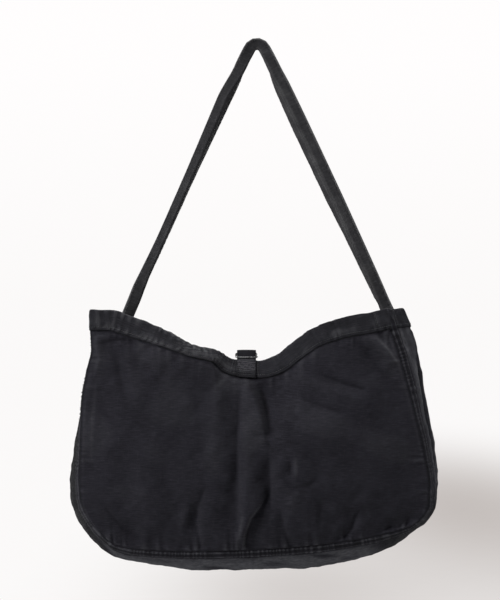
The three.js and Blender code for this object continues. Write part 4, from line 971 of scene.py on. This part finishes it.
def clasp_route():
    """The ring's two bars and the closing strap's way over the mouth, as depth and height."""
    half_pinch = MOUTH_PINCH / 2
    reach = CLOSING_CLOTH / 2 + RING_ROOM + RING_WIRE / 2
    over = float(mouth_point(0.0)[2]) + 3.0 + CLOSING_CLOTH / 2
    front_bar = np.array([-half_pinch - 0.75 * reach, over + 0.9 * reach])
    back_bar = front_bar + RING_DEPTH * np.array([math.cos(RING_TILT * RAD), math.sin(RING_TILT * RAD)])
    arch = [
        back_bar + reach * np.array([2 * math.cos(d * RAD), 1.9 * math.sin(d * RAD)])
        for d in (165, 130, 90, 50, 15)
    ]
    route = [
        (-half_pinch, over), (-half_pinch + 0.4 * reach, over + reach), *arch,
        (half_pinch + 0.4 * reach, over + reach - BACK_DROP), (half_pinch, over - BACK_DROP),
    ]
    return front_bar, back_bar, np.array(route)


closing_x = np.linspace(-0.5, 0.5, CLOSING_ACROSS) * CLOSING_WIDTH + CLASP_ACROSS


def on_hem(hand, down):
    """Points across the closing strap where it lies on the hem, hand -1 in front."""
    ends = [-1 / LEFT_MOUTH_SHARE, 1 / RIGHT_MOUTH_SHARE]
    s = np.linspace(*(CLOSING_WIDTH / 2 / MOUTH_WIDTH * end for end in ends), CLOSING_ACROSS)
    top, foot = mouth_point(s), band_foot(s)
    points = top * (1 - down) + foot * down
    out = unit(np.cross(unit(np.gradient(points, axis=0)), unit(top - foot)))
    out *= np.sign(-out[:, 1:2])
    points = points + out * (HEM_LIFT + HEM_CLOTH / 2 + CLOSING_CLOTH / 2)
    points[:, 0] = closing_x
    if hand > 0:
        points, out = points * MIRROR - np.array([0, 0, BACK_DROP]), out * MIRROR
    return np.concatenate([points, out], axis=1)


front_bar, back_bar, route = clasp_route()
closing = [on_hem(-1, down) for down in (1.06, 0.8, 0.55, 0.3, 0.08)]
behind = [on_hem(1, down) for down in (0.08, 0.3, 0.55, 0.8, 1.02)]
middle = CLOSING_ACROSS // 2
spots = np.concatenate([[closing[-1][middle, 1:3]], route, [behind[0][middle, 1:3]]])
for before, spot, after in zip(spots, spots[1:], spots[2:]):
    run = unit(after - before)
    closing.append(np.concatenate([xyz(closing_x, *spot), xyz(0 * closing_x, -run[1], run[0])], axis=1))
closing_rows, closing_at = refined(np.array(closing + behind), CLOSING_ALONG)
# more places across the closing strap, close together at its edges
even, wide = np.linspace(-1, 1, CLOSING_ACROSS), math.pi / 2 * 0.96
finer = np.sin(np.linspace(-1, 1, CLOSING_FINER) * wide) / math.sin(wide)
closing_rows = np.array([along_line(finer, even, row) for row in closing_rows])
closing_loop, closing_cloth, closing_wear_and_shade, closing_upper, _, closing_way = solid_ribbon(
    closing_rows, closing_at, CLOSING_CLOTH, CLOSING_WIDTH, 81, 0.2, -0.15, 0.0
)
# the sewn ends and the loop that holds the ring are darker than the stretch between them
from_end = np.minimum(closing_at, closing_at[-1] - closing_at)[:, None]
closing_wear_and_shade += 0.25 - 0.6 * (1 - ease(from_end, 5, 13)) - 0.75 * ease(from_end, 33, 37)
slanted = np.sin((from_end - 0.17 * closing_loop[..., 0]) * 2 * math.pi / 3.4)
closing_wear_and_shade += 0.55 * slanted * ease(from_end, 8, 12) * (1 - ease(from_end, 26, 30))
closing_wear_and_shade = np.clip(closing_wear_and_shade, -1, 1)
closing_piece = grid_piece(
    "closing_strap_cloth", closing_loop, closing_cloth, closing_wear_and_shade, HEM_CANVAS, ends="capped"
)


def ring_piece():
    wire = RING_WIRE / 2
    half_across = CLOSING_WIDTH / 2 + RING_SIDE_GAP + wire
    corner = 2.1 * wire
    centre = np.array([CLASP_ACROSS, *(front_bar + back_bar) / 2])
    across = np.array([1.0, 0, 0])
    along = unit(np.array([0, *(back_bar - front_bar)]))
    up = np.cross(across, along)
    around = np.linspace(0, 2 * math.pi, 16, endpoint=False)
    rows = []
    for hand_x, hand_y, start in ((1, -1, -90), (1, 1, 0), (-1, 1, 90), (-1, -1, 180)):
        for step in range(9):
            angle = (start + 90 * step / 8) * RAD
            outward = across * math.cos(angle) + along * math.sin(angle)
            spot = centre + across * hand_x * (half_across - corner)
            spot = spot + along * hand_y * (RING_DEPTH / 2 - corner) + outward * corner
            rows.append(spot + wire * (np.outer(np.cos(around), outward) + np.outer(np.sin(around), up)))
    return grid_piece("wire_ring", np.array(rows), None, 0.0, METAL, ends="joined")


ring = ring_piece()


# Stitching

def rows_on(grid, out, to_edge, offset):
    """A line over the grid's rows at one distance from its edge, with the way out."""
    points, outs = [], []
    for r in range(HEM_ROWS + 2, len(grid) - HEM_ROWS - 2):
        distance = to_edge[r]
        k = int(np.clip(np.searchsorted(distance, offset), 1, len(distance) - 1))
        t = (offset - distance[k - 1]) / max(distance[k] - distance[k - 1], 1e-6)
        points.append(grid[r, k - 1] * (1 - t) + grid[r, k] * t)
        outs.append(out[r, k])
    return np.array(points) + np.array(outs) * CLOTH / 2, np.array(outs)


seam_lines = []
for offset in SEAM_ROWS:
    for turn, to_edge in ((1, sides_across), (-1, sides_across[:, -1:] - sides_across)):
        grids = (grid[:, ::turn] for grid in (sides, sides_out, to_edge))
        seam_lines.append(rows_on(*grids, offset))
seam_stitches = stitches("seam_stitches", seam_lines, THREAD)

hem_lines = []
for k in (5, len(section) - 6):
    out_way = ring_out * np.sign(section[k, 1])
    hem_lines.append((hem_grid[:, k] + out_way * HEM_CLOTH / 2, out_way))
hem_stitches = stitches("hem_stitches", hem_lines, THREAD)


def up_hem(x, more=0.0):
    """A line of stitches up the front hem's outer face, at x and some way on round the mouth."""
    front_part = int(len(ring_at) * 0.45)
    at = np.interp(x, ring_top[:front_part, 0], ring_at[:front_part]) + more
    i = int(np.argmin(np.abs(ring_at - at)))
    points = hem_grid[i, 4:27] + ring_out[i] * HEM_CLOTH / 2
    return points, np.repeat(ring_out[i][None], len(points), 0)


hem_ups = [up_hem(x) for x in (174.5, 176.8, -33.4, -35.6, 0.4, 3.0)]
hem_ups += [up_hem(193, more) for more in (9, 12)]
hem_up_stitches = stitches("hem_cross_stitches", hem_ups, THREAD, pitch=2.9, length=2.2)

strap_lines = []
for k in (2, STRAP_ACROSS - 3):
    for face, sign in ((strap_upper, 1), (strap_lower, -1)):
        strap_lines.append((face[:, k], strap_way[:, k] * sign))
strap_stitches = stitches("strap_stitches", strap_lines, THREAD, lift=0.16)


def on_tab(row_a, col_a, row_b, col_b):
    """A line over the closing strap's outer face between two places on its grid."""
    t = np.linspace(0, 1, 24)
    r, c = row_a + (row_b - row_a) * t, col_a + (col_b - col_a) * t
    i = np.clip(r.astype(int), 0, closing_upper.shape[0] - 2)
    j = np.clip(c.astype(int), 0, closing_upper.shape[1] - 2)
    fr, fc = (r - i)[:, None], (c - j)[:, None]
    near = closing_upper[i, j] * (1 - fr) + closing_upper[i + 1, j] * fr
    far = closing_upper[i, j + 1] * (1 - fr) + closing_upper[i + 1, j + 1] * fr
    return near * (1 - fc) + far * fc, closing_way[i, j]


def at_both_ends(spans):
    last = len(closing_at) - 1
    return [on_tab(*span) for span in spans] + [on_tab(last - a, b, last - c, d) for a, b, c, d in spans]


edge_lines = at_both_ends([(4, 2, 6, 14), (9, 2, 7.5, 14), (12, 3, 14.5, 13)])
tack_lines = at_both_ends([(k, 2, k - 3.4, 14) for k in (18, 20.5, 23, 25.5, 28, 30.5)])
edge_stitches = stitches("tab_edge_stitches", edge_lines, THREAD, pitch=2.6, length=2.4)
tab_stitches = stitches(
    "tab_stitches", tack_lines, TACK_THREAD, pitch=1.9, length=2.1, width=1.1, lift=0.3
)


# Each piece stands for one of the imported model's parts, which is hidden

for piece, node in (
    (front_cloth, "front_panel"), (back_cloth, "back_panel"), (gusset_cloth, "gusset"),
    (hem, "hem_band"), (strap, "shoulder_strap"), (closing_piece, "closing_strap"), (ring, "ring_slide"),
):
    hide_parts(node)


# Floor and backdrop, in metres

FLOOR_REACH, FLOOR_Z = 220, -3.6
HORIZON, ZENITH = (0.965, 0.95, 0.945, 1), (1.0, 0.985, 0.985, 1)
# colour of the floor's painted shadows
FLOOR_SHADOW_COLOUR = (0.53, 0.49, 0.47, 1)
SKY_LIGHT = 0.17  # the part of the backdrop's white that lights the bag

floor_mesh = bpy.data.meshes.new("floor")
corners = [(x * FLOOR_REACH, y * FLOOR_REACH, 0) for x, y in ((-1, -1), (1, -1), (1, 1), (-1, 1))]
floor_mesh.from_pydata(corners, [], [(0, 1, 2, 3)])
floor_mesh.materials.append(floor_material("floor_glow_painted_shadows", FLOOR_SHADOW_COLOUR, HORIZON))
floor = bpy.data.objects.new("floor", floor_mesh)
floor.location = (0, 0, FLOOR_Z)
bpy.context.scene.collection.objects.link(floor)
floor.visible_diffuse = False
floor.visible_glossy = False

bpy.context.scene.view_settings.view_transform = "Standard"
world = bpy.data.worlds.new("studio")
bpy.context.scene.world = world
sky = Nodes(world)
backdrop = sky.mixed(sky.ranged(sky.parts(sky.place("Generated"))[2], 0.0, 0.13), HORIZON, ZENITH)
seen = sky.add("ShaderNodeLightPath").outputs["Is Camera Ray"]
strength = sky.ranged(seen, 0.0, 1.0, SKY_LIGHT, 1.0)
sky.fill(sky.tree.nodes["Background"], {"Color": backdrop, "Strength": strength})


# Lights

def area_light(name, place, size, power, target=(0, 0, -0.5)):
    data = bpy.data.lights.new(name, "AREA")
    data.shape = "DISK"
    data.size = size
    data.energy = power
    light = bpy.data.objects.new(name, data)
    light.location = place
    x, y, z = np.array(target) - np.array(place)
    light.rotation_euler = (math.atan2(math.hypot(x, y), -z), 0, math.atan2(y, x) - math.pi / 2)
    light.visible_camera = False
    bpy.context.scene.collection.objects.link(light)


area_light("key", (-2.1, -1.5, 1.1), 0.9, 100)
area_light("side", (2.6, -0.42, 0.1), 1.0, 40)
area_light("low", (-0.3, -0.38, -1.58), 0.6, 5, target=(-0.05, 0, -0.8))
area_light("top", (-0.3, -0.1, 2.2), 0.8, 16)
area_light("behind", (1.6, 3.0, 1.2), 1.5, 90)
area_light("behind_low", (-2.4, 1.6, -0.6), 1.2, 16)
